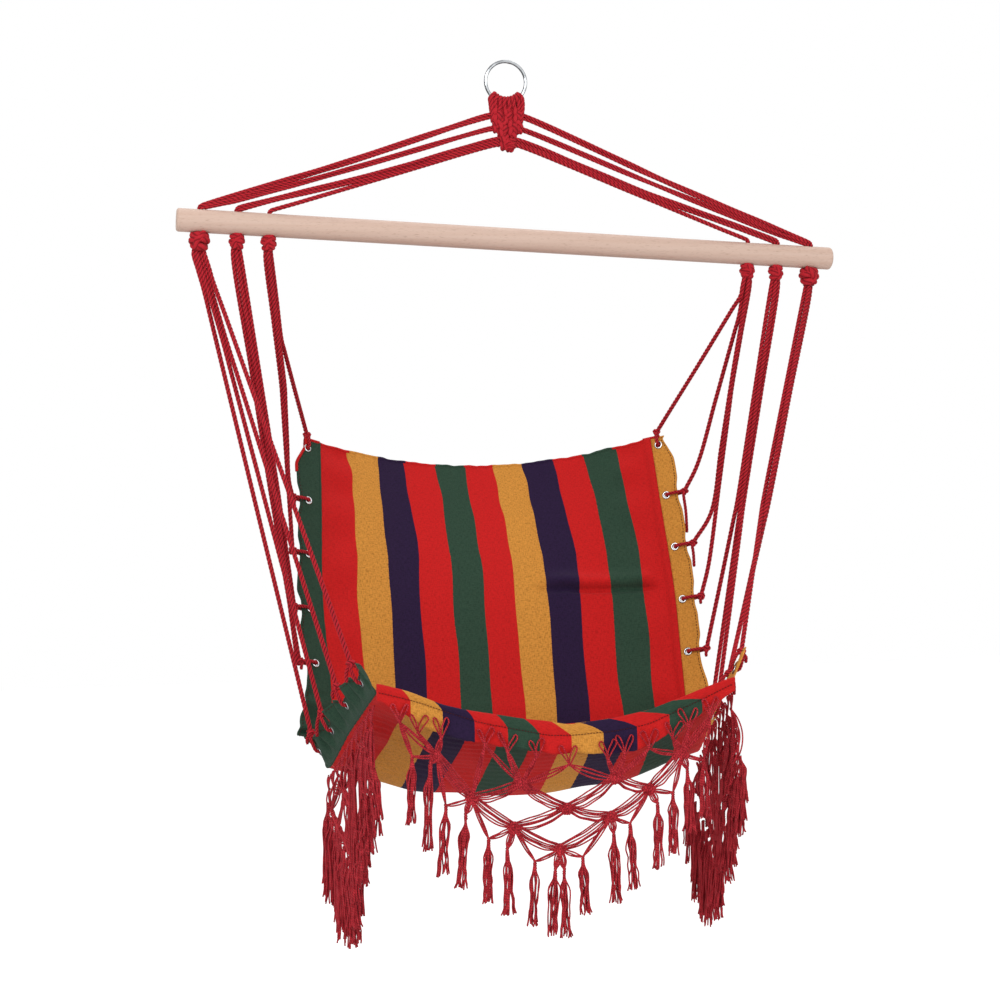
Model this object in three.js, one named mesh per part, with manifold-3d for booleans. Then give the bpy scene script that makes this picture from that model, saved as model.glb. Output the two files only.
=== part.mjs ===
// Hammock chair: a striped padded sling hung by cotton cords from a wooden spreader bar,
// which hangs by more cords from a knotted hanger on one steel ring.
// Millimetres, +Z up, +Y towards the back. The origin is where the ring rests on its hook,
// at the top of the ring's eye.

import * as THREE from 'three';
import { mergeVertices } from 'three/addons/utils/BufferGeometryUtils.js';
import Module from 'manifold-3d';

const wasm = await Module();
wasm.setup();

// Driving dimensions.

// Running gap between pieces that touch, and how far a cutting tool runs past its work.
const clearance = 0.3;
const cutOverrun = 2;

// Hanging ring.
const ringOuterDiameter = 66;
const ringWireDiameter = 5;

// Knotted hanger: loops over the ring, then rows of square knots that narrow downwards.
const hangerLoopCount = 4;
const hangerLoopWidth = 12.4;
const hangerLoopThickness = 5.2;
const hangerLoopPitchDegrees = 27;
const hangerLoopPlay = 0.8;
const hangerKnotDepth = 17;
const hangerTopHalfWidth = 23;
const hangerTopHeight = 27;
const hangerMiddleHalfWidth = 18;
const hangerMiddleHeight = 24;
const hangerLowHalfWidth = 13.5;
const hangerLowHeight = 23;
const hangerRowOverlap = 3;

// Spreader bar, which hangs a little off level and off centre.
const barLength = 1000;
const barDiameter = 34;
const barEndRound = 4;
const barDrop = 263.6;
const barShift = 10;
const barTiltDegrees = 2.63;
const barHoleDiameter = 12;
const barHolesFromEnd = [34, 88, 134];

// Upper ropes: two cords side by side are drawn as one rope of their joint thickness.
const outerRopeDiameter = 10.4;
const joiningRopeDiameter = 8;
const middleRopeDiameter = 9.6;
const innerRopeDiameter = 6.8;
const ropeRootLength = 5;
const ropeBendPlay = 2.6;
const ropeBendDegrees = 64;
const ropeMouthRise = 1.2;
const ropeSag = 2;
const ropeBendLead = 0.12;
const outerRopeJoinShare = 0.76;
const outerRootRise = -4;

// Stopper knots under the bar.
const outerKnotWidth = 30;
const outerKnotHeight = 27;
const innerKnotWidth = 23;
const innerKnotHeight = 23;
const knotRidgeHeight = 0.6;
const knotSwingGap = 0.75;

// Suspension cords and the knots that tie them to the eyelets.
const cordDiameter = 6.3;
const cordSpacing = 7.1;
const tieCordDiameter = 4;
const tieKnotDiameter = 13;
const tieKnotSquashShare = 0.82;
const tieLoopHeight = 15;

// Sling: the padded cloth from the top of the back to the front hem, without its side flanges.
const slingHalfWidth = 280;
const slingTopDrop = 559;
const slingHeight = 476;
const slingBackReach = 179;
const slingShift = -4.6;
const slingDepth = 475;
const padThickness = 9;
const padEdgeThickness = 3;
const padFoldHeight = 3.2;

// Side flanges with their eyelets.
const flangeWidth = 45;
const flangeThickness = 2.4;
const flangeSeam = 1.5;
const seatFlangeSeam = 2.9;
const backFlangeLean = [0.83, -0.5, 0.14];
const seatFlangeLean = [0.42, 0.2, 0.88];
const flangeTurnFrom = 370;
const flangeTurnTo = 505;
const eyeletOuterDiameter = 13;
const eyeletBoreDiameter = 8;
const eyeletBarrelWall = 0.9;
const eyeletRimThickness = 0.9;
const eyeletFlat = 16;
const backEyeletCount = 5;
const backEyeletFirst = 15;
const backEyeletPitch = 86;
const seatEyeletCount = 4;
const seatEyeletFirst = 28;
const seatEyeletPitch = 92;

// Front hem, a folded band with its stitch line.
const hemHeight = 50;
const hemThickness = 7;
const hemRise = 6;
const hemStitchDrop = 21;
const hemSetback = 1.4;

// Fringes: yarn loops, a knotted net that narrows to a point, and tassels along its edge.
const yarnDiameter = 2;
const fringeLoopDrop = 6;
const fringeFirstKnots = 26;
const fringeNetTop = 62;
const fringeNetRows = 4;
const fringeNetSpread = 0.25;
const frontFringeDepth = 150;
const frontLoopCount = 10;
const frontTasselLength = 84;
const sideFringeDepth = 172;
const sideLoopCount = 6;
const sideTasselLength = 92;
const fringePointShare = 1.25;
const fringeTasselDiameter = 11;
const fringeKnotDiameter = 8;
const fringeEndMargin = 9;
const fringeHangGap = 7.4;
const fringeFaceGap = 0.8;

// Colours of the real materials.
const cordRed = 0xb5222f;
const clothRed = 0xd0221f;
const clothGreen = 0x2d4a39;
const clothAmber = 0xce8e2f;
const barBeech = 0xdbbeac;
const steel = 0xc9ccd0;

const cordMaterial = new THREE.MeshStandardMaterial({ color: cordRed, roughness: 0.9, metalness: 0 });
const clothMaterial = new THREE.MeshStandardMaterial({ color: clothRed, roughness: 0.95, metalness: 0 });
const greenMaterial = new THREE.MeshStandardMaterial({ color: clothGreen, roughness: 0.95, metalness: 0 });
const amberMaterial = new THREE.MeshStandardMaterial({ color: clothAmber, roughness: 0.95, metalness: 0 });
const woodMaterial = new THREE.MeshStandardMaterial({ color: barBeech, roughness: 0.6, metalness: 0 });
const steelMaterial = new THREE.MeshStandardMaterial({ color: steel, roughness: 0.2, metalness: 1 });

// Faces round each kind of section.
const ringSections = 24;
const ringSides = 8;
const cordSides = 5;
const ropeSides = 6;
const barSides = 20;
const holeSides = 10;
const eyeletSides = 7;

const X = new THREE.Vector3(1, 0, 0);
const Y = new THREE.Vector3(0, 1, 0);
const Z = new THREE.Vector3(0, 0, 1);

const vector = (x, y, z) => new THREE.Vector3(x, y, z);
const lerp = THREE.MathUtils.lerp;
const radians = THREE.MathUtils.degToRad;

// Solids: joining and cutting of closed meshes.

function solidOf(geometry) {
  const bare = new THREE.BufferGeometry();
  bare.setAttribute('position', geometry.getAttribute('position').clone());
  if (geometry.index) bare.setIndex(geometry.index.clone());
  const merged = mergeVertices(bare, 1e-4);
  const mesh = new wasm.Mesh({
    numProp: 3,
    vertProperties: new Float32Array(merged.getAttribute('position').array),
    triVerts: new Uint32Array(merged.index.array),
  });
  return new wasm.Manifold(mesh);
}

function geometryOf(solid) {
  const mesh = solid.getMesh();
  const geometry = new THREE.BufferGeometry();
  geometry.setAttribute('position', new THREE.BufferAttribute(mesh.vertProperties, mesh.numProp));
  geometry.setIndex(new THREE.BufferAttribute(mesh.triVerts, 1));
  geometry.computeVertexNormals();
  return geometry;
}

function join(geometries) {
  return geometryOf(wasm.Manifold.union(geometries.map(solidOf)));
}

function cut(geometry, tools) {
  return geometryOf(solidOf(geometry).subtract(wasm.Manifold.union(tools.map(solidOf))));
}

function named(name, geometry, material) {
  const mesh = new THREE.Mesh(geometry, material);
  mesh.name = name;
  return mesh;
}

function mirrored(point, side) {
  return vector(point.x * side, point.y, point.z);
}

// Shapes.

function polygon(halfWidth, halfHeight, sides) {
  const points = [];
  for (let i = 0; i < sides; i += 1) {
    const angle = ((i + 0.5) * 2 * Math.PI) / sides;
    points.push(new THREE.Vector2(halfWidth * Math.cos(angle), halfHeight * Math.sin(angle)));
  }
  return new THREE.Shape(points);
}

// Smooth route whose sections stand exactly at its own points.
function route(points, closed = false) {
  const path = new THREE.CatmullRomCurve3(points, closed, 'centripetal');
  path.getUtoTmapping = (u) => u;
  return path;
}

function tube(points, halfWidth, halfHeight, sides) {
  return new THREE.ExtrudeGeometry(polygon(halfWidth, halfHeight, sides), {
    steps: points.length - 1,
    bevelEnabled: false,
    extrudePath: route(points),
  });
}

// A closed sheet: a grid of points with a thickness, walls all round.
function sheet(pointAt, normalAt, halfThicknessAt, rows, columns) {
  const positions = [];
  const index = [];
  const across = columns + 1;
  const layer = (rows + 1) * across;
  for (const side of [1, -1]) {
    for (let i = 0; i <= rows; i += 1) {
      for (let j = 0; j <= columns; j += 1) {
        const u = i / rows;
        const v = j / columns;
        const point = pointAt(u, v).addScaledVector(normalAt(u, v), side * halfThicknessAt(u, v));
        positions.push(...point);
      }
    }
  }
  const quad = (a, b, c, d) => index.push(a, b, c, a, c, d);
  for (let i = 0; i < rows; i += 1) {
    for (let j = 0; j < columns; j += 1) {
      const a = i * across + j;
      quad(a, a + 1, a + across + 1, a + across);
      quad(layer + a, layer + a + across, layer + a + across + 1, layer + a + 1);
    }
  }
  for (let j = 0; j < columns; j += 1) {
    const last = rows * across + j;
    quad(j, layer + j, layer + j + 1, j + 1);
    quad(last, last + 1, layer + last + 1, layer + last);
  }
  for (let i = 0; i < rows; i += 1) {
    const left = i * across;
    const right = left + columns;
    quad(left, left + across, layer + left + across, layer + left);
    quad(right, layer + right, layer + right + across, right + across);
  }
  const geometry = new THREE.BufferGeometry();
  geometry.setAttribute('position', new THREE.Float32BufferAttribute(positions, 3));
  geometry.setIndex(index);
  geometry.computeVertexNormals();
  const volume = solidOf(geometry).volume();
  if (volume < 0) geometry.setIndex(index.reverse());
  return geometry;
}

// Ring.

const ringWireRadius = ringWireDiameter / 2;
const ringMeanRadius = ringOuterDiameter / 2 - ringWireRadius;
const ringCentre = vector(0, 0, -(ringMeanRadius - ringWireRadius));

function hangingRing() {
  const geometry = new THREE.TorusGeometry(ringMeanRadius, ringWireRadius, ringSides, ringSections);
  geometry.rotateX(Math.PI / 2);
  const mesh = named('hanging_ring', geometry, steelMaterial);
  mesh.position.copy(ringCentre);
  return mesh;
}

// Knotted hanger.

const hangerRows = [
  { knots: 3, halfWidth: hangerTopHalfWidth, height: hangerTopHeight },
  { knots: 2, halfWidth: hangerMiddleHalfWidth, height: hangerMiddleHeight },
  { knots: 1, halfWidth: hangerLowHalfWidth, height: hangerLowHeight },
];
const hangerTopZ = ringCentre.z - ringMeanRadius - ringWireRadius - hangerLoopPlay;

function hangerRowTop(row) {
  let z = hangerTopZ;
  for (let i = 0; i < row; i += 1) z -= hangerRows[i].height - hangerRowOverlap;
  return z;
}

function hangerRowCentre(row) {
  return hangerRowTop(row) - hangerRows[row].height / 2;
}

function hangerLoop(k) {
  const angle = radians((k - (hangerLoopCount - 1) / 2) * hangerLoopPitchDegrees);
  const outwards = vector(Math.sin(angle), 0, -Math.cos(angle));
  const wire = ringCentre.clone().addScaledVector(outwards, ringMeanRadius);
  const reach = ringWireRadius + hangerLoopPlay + hangerLoopThickness / 2;
  const first = hangerRows[0];
  const footX = (wire.x / ringMeanRadius) * first.halfWidth;
  const footZ = hangerRowCentre(0);
  const footY = hangerKnotDepth / 2 - hangerLoopThickness / 2;
  const points = [];
  for (const side of [1, -1]) {
    const half = [
      vector(footX, side * footY, footZ),
      wire.clone().addScaledVector(outwards, reach).addScaledVector(Y, side * reach),
      wire.clone().addScaledVector(Y, side * reach),
      wire.clone().addScaledVector(outwards, -reach * Math.SQRT1_2).addScaledVector(Y, side * reach * Math.SQRT1_2),
    ];
    if (side === 1) points.push(...half, wire.clone().addScaledVector(outwards, -reach));
    else points.push(...half.reverse());
  }
  return tube(points, hangerLoopThickness / 2, hangerLoopWidth / 2, ropeSides);
}

function hangerKnotwork() {
  const solids = [];
  for (let k = 0; k < hangerLoopCount; k += 1) solids.push(hangerLoop(k));
  hangerRows.forEach((row, r) => {
    const halfKnot = row.halfWidth / row.knots;
    for (let k = 0; k < row.knots; k += 1) {
      const x = (2 * k + 1) * halfKnot - row.halfWidth;
      const knot = new THREE.SphereGeometry(1, 7, 5);
      knot.rotateX(Math.PI / 2);
      knot.scale(halfKnot, hangerKnotDepth / 2, row.height / 2);
      knot.translate(x, 0, hangerRowCentre(r));
      solids.push(knot);
    }
    // The cords that run on inside the knots fill the row behind its bumps.
    const core = new THREE.BoxGeometry(row.halfWidth * 1.5, hangerKnotDepth * 0.62, row.height * 0.8);
    core.translate(0, 0, hangerRowCentre(r));
    solids.push(core);
  });
  return named('hanger_knotwork', join(solids), cordMaterial);
}

// Spreader bar, in a frame of its own: x along the bar, z up through its holes.

const barRadius = barDiameter / 2;
const barTilt = radians(barTiltDegrees);
const barCentre = vector(barShift, 0, -barDrop);
const barAlong = vector(Math.cos(barTilt), 0, -Math.sin(barTilt));
const barUp = vector(Math.sin(barTilt), 0, Math.cos(barTilt));

function onBar(along, up, y = 0) {
  return barCentre.clone().addScaledVector(barAlong, along).addScaledVector(barUp, up).addScaledVector(Y, y);
}

function holeAlong(side, hole) {
  return side * (barLength / 2 - barHolesFromEnd[hole]);
}

function barFrame() {
  const group = new THREE.Group();
  group.position.copy(barCentre);
  group.rotation.y = barTilt;
  return group;
}

function spreaderBar() {
  const flat = barRadius - barEndRound;
  const half = barLength / 2;
  const profile = [new THREE.Vector2(0, -half)];
  for (const end of [-1, 1]) {
    for (let i = 0; i <= 3; i += 1) {
      const angle = (Math.PI / 2) * (end < 0 ? 1 - i / 3 : i / 3);
      const radius = flat + barEndRound * Math.cos(angle);
      const along = end * (half - barEndRound + barEndRound * Math.sin(angle));
      profile.push(new THREE.Vector2(radius, along));
    }
  }
  profile.push(new THREE.Vector2(0, half));
  const rod = new THREE.LatheGeometry(profile, barSides);
  rod.rotateZ(-Math.PI / 2);
  const holes = [];
  for (const side of [-1, 1]) {
    for (let hole = 0; hole < barHolesFromEnd.length; hole += 1) {
      const tool = new THREE.CylinderGeometry(
        barHoleDiameter / 2,
        barHoleDiameter / 2,
        barDiameter + 2 * cutOverrun,
        holeSides,
      );
      tool.rotateX(Math.PI / 2);
      tool.translate(holeAlong(side, hole), 0, 0);
      holes.push(tool);
    }
  }
  return named('spreader_bar', cut(rod, holes), woodMaterial);
}

// Stopper knots: a wrapped ball round the cords, tight under each hole.

const knotSizes = [
  { width: outerKnotWidth, height: outerKnotHeight },
  { width: innerKnotWidth, height: innerKnotHeight },
  { width: innerKnotWidth, height: innerKnotHeight },
];

// How far the knot's crown goes up into the hole before it seats on the hole's edge.
function knotSeat(hole) {
  const { width, height } = knotSizes[hole];
  return (height / 2) * (1 - Math.sqrt(1 - (barHoleDiameter / width) ** 2)) - 2 * clearance;
}

function knotUp(hole) {
  return -(barRadius - knotSeat(hole) + knotSizes[hole].height / 2 - knotRidgeHeight);
}

function stopperKnot(name, side, hole) {
  const size = knotSizes[hole];
  const geometry = new THREE.SphereGeometry(1, 9, 6);
  const place = geometry.getAttribute('position');
  const point = new THREE.Vector3();
  const ridgeShare = knotRidgeHeight / (size.height / 2);
  for (let i = 0; i < place.count; i += 1) {
    point.fromBufferAttribute(place, i);
    const turn = Math.atan2(point.z, point.x);
    const wrap = Math.sin(2 * turn + 5 * point.y) * Math.hypot(point.x, point.z);
    point.multiplyScalar(1 - ridgeShare * (1 + wrap));
    place.setXYZ(i, point.x, point.y, point.z);
  }
  geometry.rotateX(side * (Math.PI / 2));
  geometry.scale(size.width / 2, size.height / 2, size.height / 2);
  const mesh = named(name, geometry, cordMaterial);
  mesh.position.set(holeAlong(side, hole), 0, knotUp(hole));
  return mesh;
}

// Upper ropes: out of the side of the hanger, down to the bar, and round a short bend into a hole.

const ropeBendShares = [1, 0.66, 0.33, 0];

function bendPoints(side, hole, radius) {
  const along = holeAlong(side, hole);
  const bend = radius + ropeBendPlay;
  const mouth = barRadius + ropeMouthRise;
  return ropeBendShares.map((share) => {
    const turn = radians(share * ropeBendDegrees);
    return onBar(along - side * bend * (1 - Math.cos(turn)), mouth + bend * Math.sin(turn));
  });
}

function ropeRoot(side, rowIndex, rootShift) {
  const root = hangerRows[rowIndex].halfWidth + clearance;
  return vector(side * root, 0, hangerRowCentre(rowIndex) + rootShift);
}

function upperRope(side, hole, rowIndex, rootShift, diameter) {
  const radius = diameter / 2;
  const bend = bendPoints(side, hole, radius);
  const start = ropeRoot(side, rowIndex, rootShift);
  const lead = start.clone().addScaledVector(X, side * ropeRootLength);
  const along = holeAlong(side, hole);
  const points = [
    start,
    lead,
    lead.clone().lerp(bend[0], 0.5).addScaledVector(Z, -ropeSag),
    lead.clone().lerp(bend[0], 1 - ropeBendLead).addScaledVector(Z, -ropeSag * ropeBendLead),
    ...bend,
    onBar(along, -barRadius + knotSeat(hole) + clearance),
  ];
  return tube(points, radius, radius, ropeSides);
}

// The outer rope's second cord comes from the next row of the hanger and joins it above the bar.
function joiningRope(side) {
  const radius = joiningRopeDiameter / 2;
  const start = ropeRoot(side, 1, 0);
  const lead = start.clone().addScaledVector(X, side * ropeRootLength);
  const bend = bendPoints(side, 0, outerRopeDiameter / 2)[0];
  const outerLead = ropeRoot(side, 0, 0).addScaledVector(X, side * ropeRootLength);
  const meet = outerLead.lerp(bend, outerRopeJoinShare);
  const points = [start, lead, lead.clone().lerp(meet, 0.5).addScaledVector(Z, -ropeSag), meet];
  return tube(points, radius, radius, ropeSides);
}

function upperRopes(word, side) {
  const rootShift = innerRopeDiameter / 2 + clearance + 1;
  const outer = join([upperRope(side, 0, 0, outerRootRise, outerRopeDiameter), joiningRope(side)]);
  const middle = upperRope(side, 1, 2, rootShift, middleRopeDiameter);
  const inner = upperRope(side, 2, 2, -rootShift - 1, innerRopeDiameter);
  return [
    named(`${word}_outer_rope`, outer, cordMaterial),
    named(`${word}_middle_rope`, middle, cordMaterial),
    named(`${word}_inner_rope`, inner, cordMaterial),
  ];
}

// Sling: half width, side edge and centre line at seven stations from the top of the back,
// round the bend under the seat, to the front. Shares of the half width, depth and height.

const stationShares = [
  { width: 0.932, edge: [0, 0], centre: [-0.116, 0.08] },
  { width: 0.945, edge: [0.074, 0.2], centre: [-0.036, 0.25] },
  { width: 0.968, edge: [0.179, 0.496], centre: [0.095, 0.504] },
  { width: 0.957, edge: [0.316, 0.822], centre: [0.242, 0.836] },
  { width: 1, edge: [0.396, 1], centre: [0.415, 1.105] },
  { width: 0.942, edge: [0.695, 0.861], centre: [0.684, 1] },
  { width: 0.885, edge: [1, 0.723], centre: [0.937, 0.842] },
];
const seatStation = 4;
const seatShare = seatStation / (stationShares.length - 1);

function stationPoint(width, [depthShare, heightShare]) {
  const y = slingBackReach - slingDepth * depthShare;
  const z = -slingTopDrop - slingHeight * heightShare;
  return vector(width * slingHalfWidth, y, z);
}

const edgeLine = new THREE.CatmullRomCurve3(
  stationShares.map(({ width, edge }) => stationPoint(width, edge)),
  false,
  'centripetal',
);
const centreLine = new THREE.CatmullRomCurve3(
  stationShares.map(({ centre }) => stationPoint(0, centre)),
  false,
  'centripetal',
);
edgeLine.arcLengthDivisions = 400;

// Point of the cloth's middle surface: s from 0 at the top to 1 at the front, t from -1 to 1.
function clothPoint(s, t) {
  const edge = edgeLine.getPoint(s);
  const centre = centreLine.getPoint(s);
  const bow = t * t;
  return vector(edge.x * t, lerp(centre.y, edge.y, bow), lerp(centre.z, edge.z, bow));
}

const nudge = 1e-3;

function clothNormal(s, t) {
  const s0 = Math.max(0, s - nudge);
  const s1 = Math.min(1, s + nudge);
  const down = clothPoint(s1, t).sub(clothPoint(s0, t));
  const across = clothPoint(s, t + nudge).sub(clothPoint(s, t - nudge));
  return across.cross(down).normalize();
}

// Long soft folds that run down the cloth, strongest half way across each side.
const foldCountShare = 3.5;

function foldHeight(s, t) {
  const fade = Math.sin(Math.PI * Math.min(1, Math.abs(t) * 1.02)) ** 2;
  const atFront = Math.min(1, (1 - s) / 0.12);
  return padFoldHeight * fade * atFront * Math.sin(foldCountShare * Math.PI * t + 2 * s);
}

function padHalfThickness(s0, s1) {
  return (u, v) => {
    const t = 2 * v - 1;
    const s = lerp(s0, s1, u);
    const atSides = 1 - Math.abs(t) ** 6;
    const atTop = Math.min(1, 0.35 + s / 0.06);
    const atFront = Math.min(1, 0.55 + (1 - s) / 0.08);
    const fullness = atSides * atTop * atFront;
    return lerp(padEdgeThickness, padThickness, fullness) / 2;
  };
}

function padSheet(s0, s1, rows, columns) {
  const point = (u, v) => {
    const s = lerp(s0, s1, u);
    const t = 2 * v - 1;
    return clothPoint(s, t).addScaledVector(clothNormal(s, t), foldHeight(s, t));
  };
  const normal = (u, v) => clothNormal(lerp(s0, s1, u), 2 * v - 1);
  return sheet(point, normal, padHalfThickness(s0, s1), rows, columns);
}

const clothLength = edgeLine.getLength();
const padSeam = clearance / clothLength;
const backPadEnd = seatShare - padSeam;
const seatPadStart = seatShare + padSeam;

// Side flanges.

function edgeTangent(s) {
  const s0 = Math.max(0, s - nudge);
  const s1 = Math.min(1, s + nudge);
  return edgeLine.getPoint(s1).sub(edgeLine.getPoint(s0)).normalize();
}

// The flange turns over between the last eyelet of the back and the first of the seat.
function flangeTurn(s) {
  const turnFrom = edgeLine.getUtoTmapping(0, flangeTurnFrom);
  const turnTo = edgeLine.getUtoTmapping(0, flangeTurnTo);
  return THREE.MathUtils.smoothstep(s, turnFrom, turnTo);
}

function seamAt(s) {
  return lerp(flangeSeam, seatFlangeSeam, flangeTurn(s));
}

// Direction of the flange away from the cloth, square to the cloth's edge.
function flangeOut(s) {
  const lean = vector(...backFlangeLean).lerp(vector(...seatFlangeLean), flangeTurn(s));
  const tangent = edgeTangent(s);
  return lean.addScaledVector(tangent, -lean.dot(tangent)).normalize();
}

function flangeNormal(s) {
  return flangeOut(s).cross(edgeTangent(s)).normalize();
}

const halfFlat = eyeletFlat / 2;

// Each eyelet sits in a flat of its own between two rows of the flange.
function eyeletStations() {
  const distances = [];
  for (let i = 0; i < backEyeletCount; i += 1) {
    distances.push({ word: `back_${i + 1}`, distance: backEyeletFirst + i * backEyeletPitch });
  }
  for (let i = 0; i < seatEyeletCount; i += 1) {
    distances.push({ word: `seat_${i + 1}`, distance: clothLength - seatEyeletFirst - i * seatEyeletPitch });
  }
  return distances
    .sort((a, b) => a.distance - b.distance)
    .map(({ word, distance }) => ({
      word,
      from: edgeLine.getUtoTmapping(0, distance - halfFlat),
      to: edgeLine.getUtoTmapping(0, distance + halfFlat),
    }));
}

const eyelets = eyeletStations();
function eyeletInset(s) {
  return seamAt(s) + flangeWidth / 2;
}

function eyeletFrame({ from, to }, side) {
  const upper = edgeLine.getPoint(from).addScaledVector(flangeOut(from), eyeletInset(from));
  const lower = edgeLine.getPoint(to).addScaledVector(flangeOut(to), eyeletInset(to));
  const place = upper.clone().lerp(lower, 0.5);
  const down = lower.sub(upper).normalize();
  const out = flangeOut(from).add(flangeOut(to));
  out.addScaledVector(down, -out.dot(down)).normalize();
  const normal = out.clone().cross(down);
  return {
    place: mirrored(place, side),
    out: mirrored(out, side),
    up: mirrored(down.negate(), side),
    normal: mirrored(normal, side),
  };
}

function ringProfile(points) {
  return points.concat([points[0]]).map(([radius, height]) => new THREE.Vector2(radius, height));
}

function eyeletGeometry() {
  const bore = eyeletBoreDiameter / 2;
  const barrel = bore + eyeletBarrelWall;
  const rim = eyeletOuterDiameter / 2;
  const grip = flangeThickness / 2 + clearance;
  const top = grip + eyeletRimThickness;
  const profile = ringProfile([
    [bore, -top],
    [rim, -top],
    [rim, -grip],
    [barrel, -grip],
    [barrel, grip],
    [rim, grip],
    [rim, top],
    [bore, top],
  ]);
  return new THREE.LatheGeometry(profile, eyeletSides);
}

function eyeletTurn({ normal, out }) {
  const basis = new THREE.Matrix4().makeBasis(out, normal, out.clone().cross(normal));
  return new THREE.Quaternion().setFromRotationMatrix(basis);
}

// Rows of the flange from the top down: where each starts, which way it goes out, and its face.
function flangeRows(side) {
  const plain = (s) => ({
    start: mirrored(edgeLine.getPoint(s).addScaledVector(flangeOut(s), seamAt(s)), side),
    out: mirrored(flangeOut(s), side),
    normal: mirrored(flangeNormal(s), side),
  });
  const rows = [plain(0)];
  eyelets.forEach((eyelet, i) => {
    if (i > 0) rows.push(plain((eyelets[i - 1].to + eyelet.from) / 2));
    const { place, out, up, normal } = eyeletFrame(eyelet, side);
    for (const way of [1, -1]) {
      const start = place.clone().addScaledVector(out, -flangeWidth / 2).addScaledVector(up, way * halfFlat);
      rows.push({ start, out, normal });
    }
  });
  return rows.concat([plain(1)]);
}

function flangeSheet(side) {
  const rows = flangeRows(side);
  const rowAt = (u) => rows[Math.round(u * (rows.length - 1))];
  const point = (u, v) => rowAt(u).start.clone().addScaledVector(rowAt(u).out, v * flangeWidth);
  const body = sheet(point, (u) => rowAt(u).normal, () => flangeThickness / 2, rows.length - 1, 1);
  const hole = eyeletBoreDiameter / 2 + eyeletBarrelWall + clearance;
  const tools = eyelets.map((eyelet) => {
    const frame = eyeletFrame(eyelet, side);
    const tool = new THREE.CylinderGeometry(hole, hole, flangeThickness + 2 * cutOverrun, eyeletSides);
    tool.applyQuaternion(eyeletTurn(frame));
    tool.translate(...frame.place);
    return tool;
  });
  return cut(body, tools);
}

// Suspension cords: which knot under the bar carries each eyelet's cord, outermost knot first.

const cordsByKnot = {
  left: [['seat_4', 'seat_3', 'seat_2', 'seat_1'], ['back_5', 'back_4'], ['back_3', 'back_2', 'back_1']],
  right: [['seat_2', 'seat_1'], ['seat_3', 'seat_4', 'back_5'], ['back_4', 'back_3', 'back_2', 'back_1']],
};

// Where a cord leaves its knot: side by side along the bar, and in two rows from four on.
function cordPack(count, index, width) {
  const inLine = width / cordSpacing >= count - 0.5;
  if (inLine) return [((count - 1) / 2 - index) * cordSpacing, 0];
  const row = index < count / 2 ? -1 : 1;
  const column = index % 2 === 0 ? 1 : -1;
  return [(column * cordSpacing) / 2, (row * cordSpacing) / 2];
}

// The tie loop goes through the eyelet and round the flange's edge to its knot: share of the way
// to the knot, and share of the loop's half height.
const loopShares = [
  [0, 0],
  [0.02, 0.5],
  [0.12, 0.98],
  [0.5, 1],
  [0.85, 0.7],
  [1, 0],
  [0.85, -0.7],
  [0.5, -1],
  [0.12, -0.98],
  [0.02, -0.5],
];

function suspensionCord(word, side, knotIndex, count, index) {
  const { place, out, up, normal } = eyeletFrame(eyelets.find((eyelet) => eyelet.word === word), side);
  const first = word === 'back_1';
  const direction = first ? up : out;
  const tieRadius = tieKnotDiameter / 2;
  const tieWidth = tieRadius * tieKnotSquashShare;
  const reach = (first ? backEyeletFirst : flangeWidth / 2) + tieRadius + 2 * clearance;
  const tie = place.clone().addScaledVector(direction, reach);
  const halfLoop = (tieLoopHeight - tieCordDiameter) / 2;
  const turns = loopShares.map(([along, across]) =>
    place.clone().addScaledVector(direction, along * reach).addScaledVector(normal, across * halfLoop),
  );
  const loop = new THREE.TubeGeometry(route(turns, true), turns.length, tieCordDiameter / 2, 4, true);
  const size = knotSizes[knotIndex];
  const [along, y] = cordPack(count, index, size.width);
  const start = onBar(
    holeAlong(side, knotIndex) + side * along,
    knotUp(knotIndex) - size.height / 2 + knotRidgeHeight - knotSwingGap,
    y,
  ).addScaledVector(X, -slingShift);
  const radius = cordDiameter / 2;
  const lead = start.clone().addScaledVector(barUp, -cordDiameter);
  const points = [start, lead, lead.clone().lerp(tie, 0.5), tie];
  const line = tube(points, radius, radius, cordSides);
  const knot = new THREE.SphereGeometry(1, 6, 4);
  knot.scale(tieWidth, tieRadius, tieWidth);
  knot.translate(...tie);
  return join([line, loop, knot]);
}

// Front hem.

function hemPoint(t) {
  const point = clothPoint(1, t);
  return point.add(vector(0, -(hemSetback + hemThickness / 2), hemRise - hemHeight / 2));
}

function frontHem() {
  const point = (u, v) => {
    const t = 2 * v - 1;
    return hemPoint(t).addScaledVector(Z, (0.5 - u) * hemHeight);
  };
  const normal = () => vector(0, -1, 0);
  const half = (u) => (hemThickness / 2) * Math.sqrt(Math.max(0.12, 1 - (2 * u - 1) ** 6));
  return sheet(point, normal, half, 4, 12);
}

// Fringes. Each is drawn on a hanging surface: a along the edge, h down from it, out from its face.

// Flat bundle of yarns side by side between two places of a hanging surface.
function yarnBundle(at, [a0, h0], [a1, h1], width, thickness) {
  const from = at(a0, h0);
  const to = at(a1, h1);
  const along = to.clone().sub(from);
  const length = along.length();
  along.normalize();
  const face = at(a0, h0, 1).sub(from);
  face.addScaledVector(along, -face.dot(along)).normalize();
  const geometry = new THREE.BoxGeometry(width, length, thickness);
  const basis = new THREE.Matrix4().makeBasis(along.clone().cross(face), along, face);
  geometry.applyMatrix4(basis);
  geometry.translate(...from.add(to).multiplyScalar(0.5));
  return geometry;
}

function knotAt(at, a, h, radius) {
  const geometry = new THREE.OctahedronGeometry(radius, 0);
  geometry.scale(1, 1, 1.3);
  geometry.translate(...at(a, h));
  return geometry;
}

const tasselProfile = [
  [0, 0],
  [0.3, 0.02],
  [0.7, 0.34],
  [1, 0.94],
  [0, 1],
];

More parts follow.
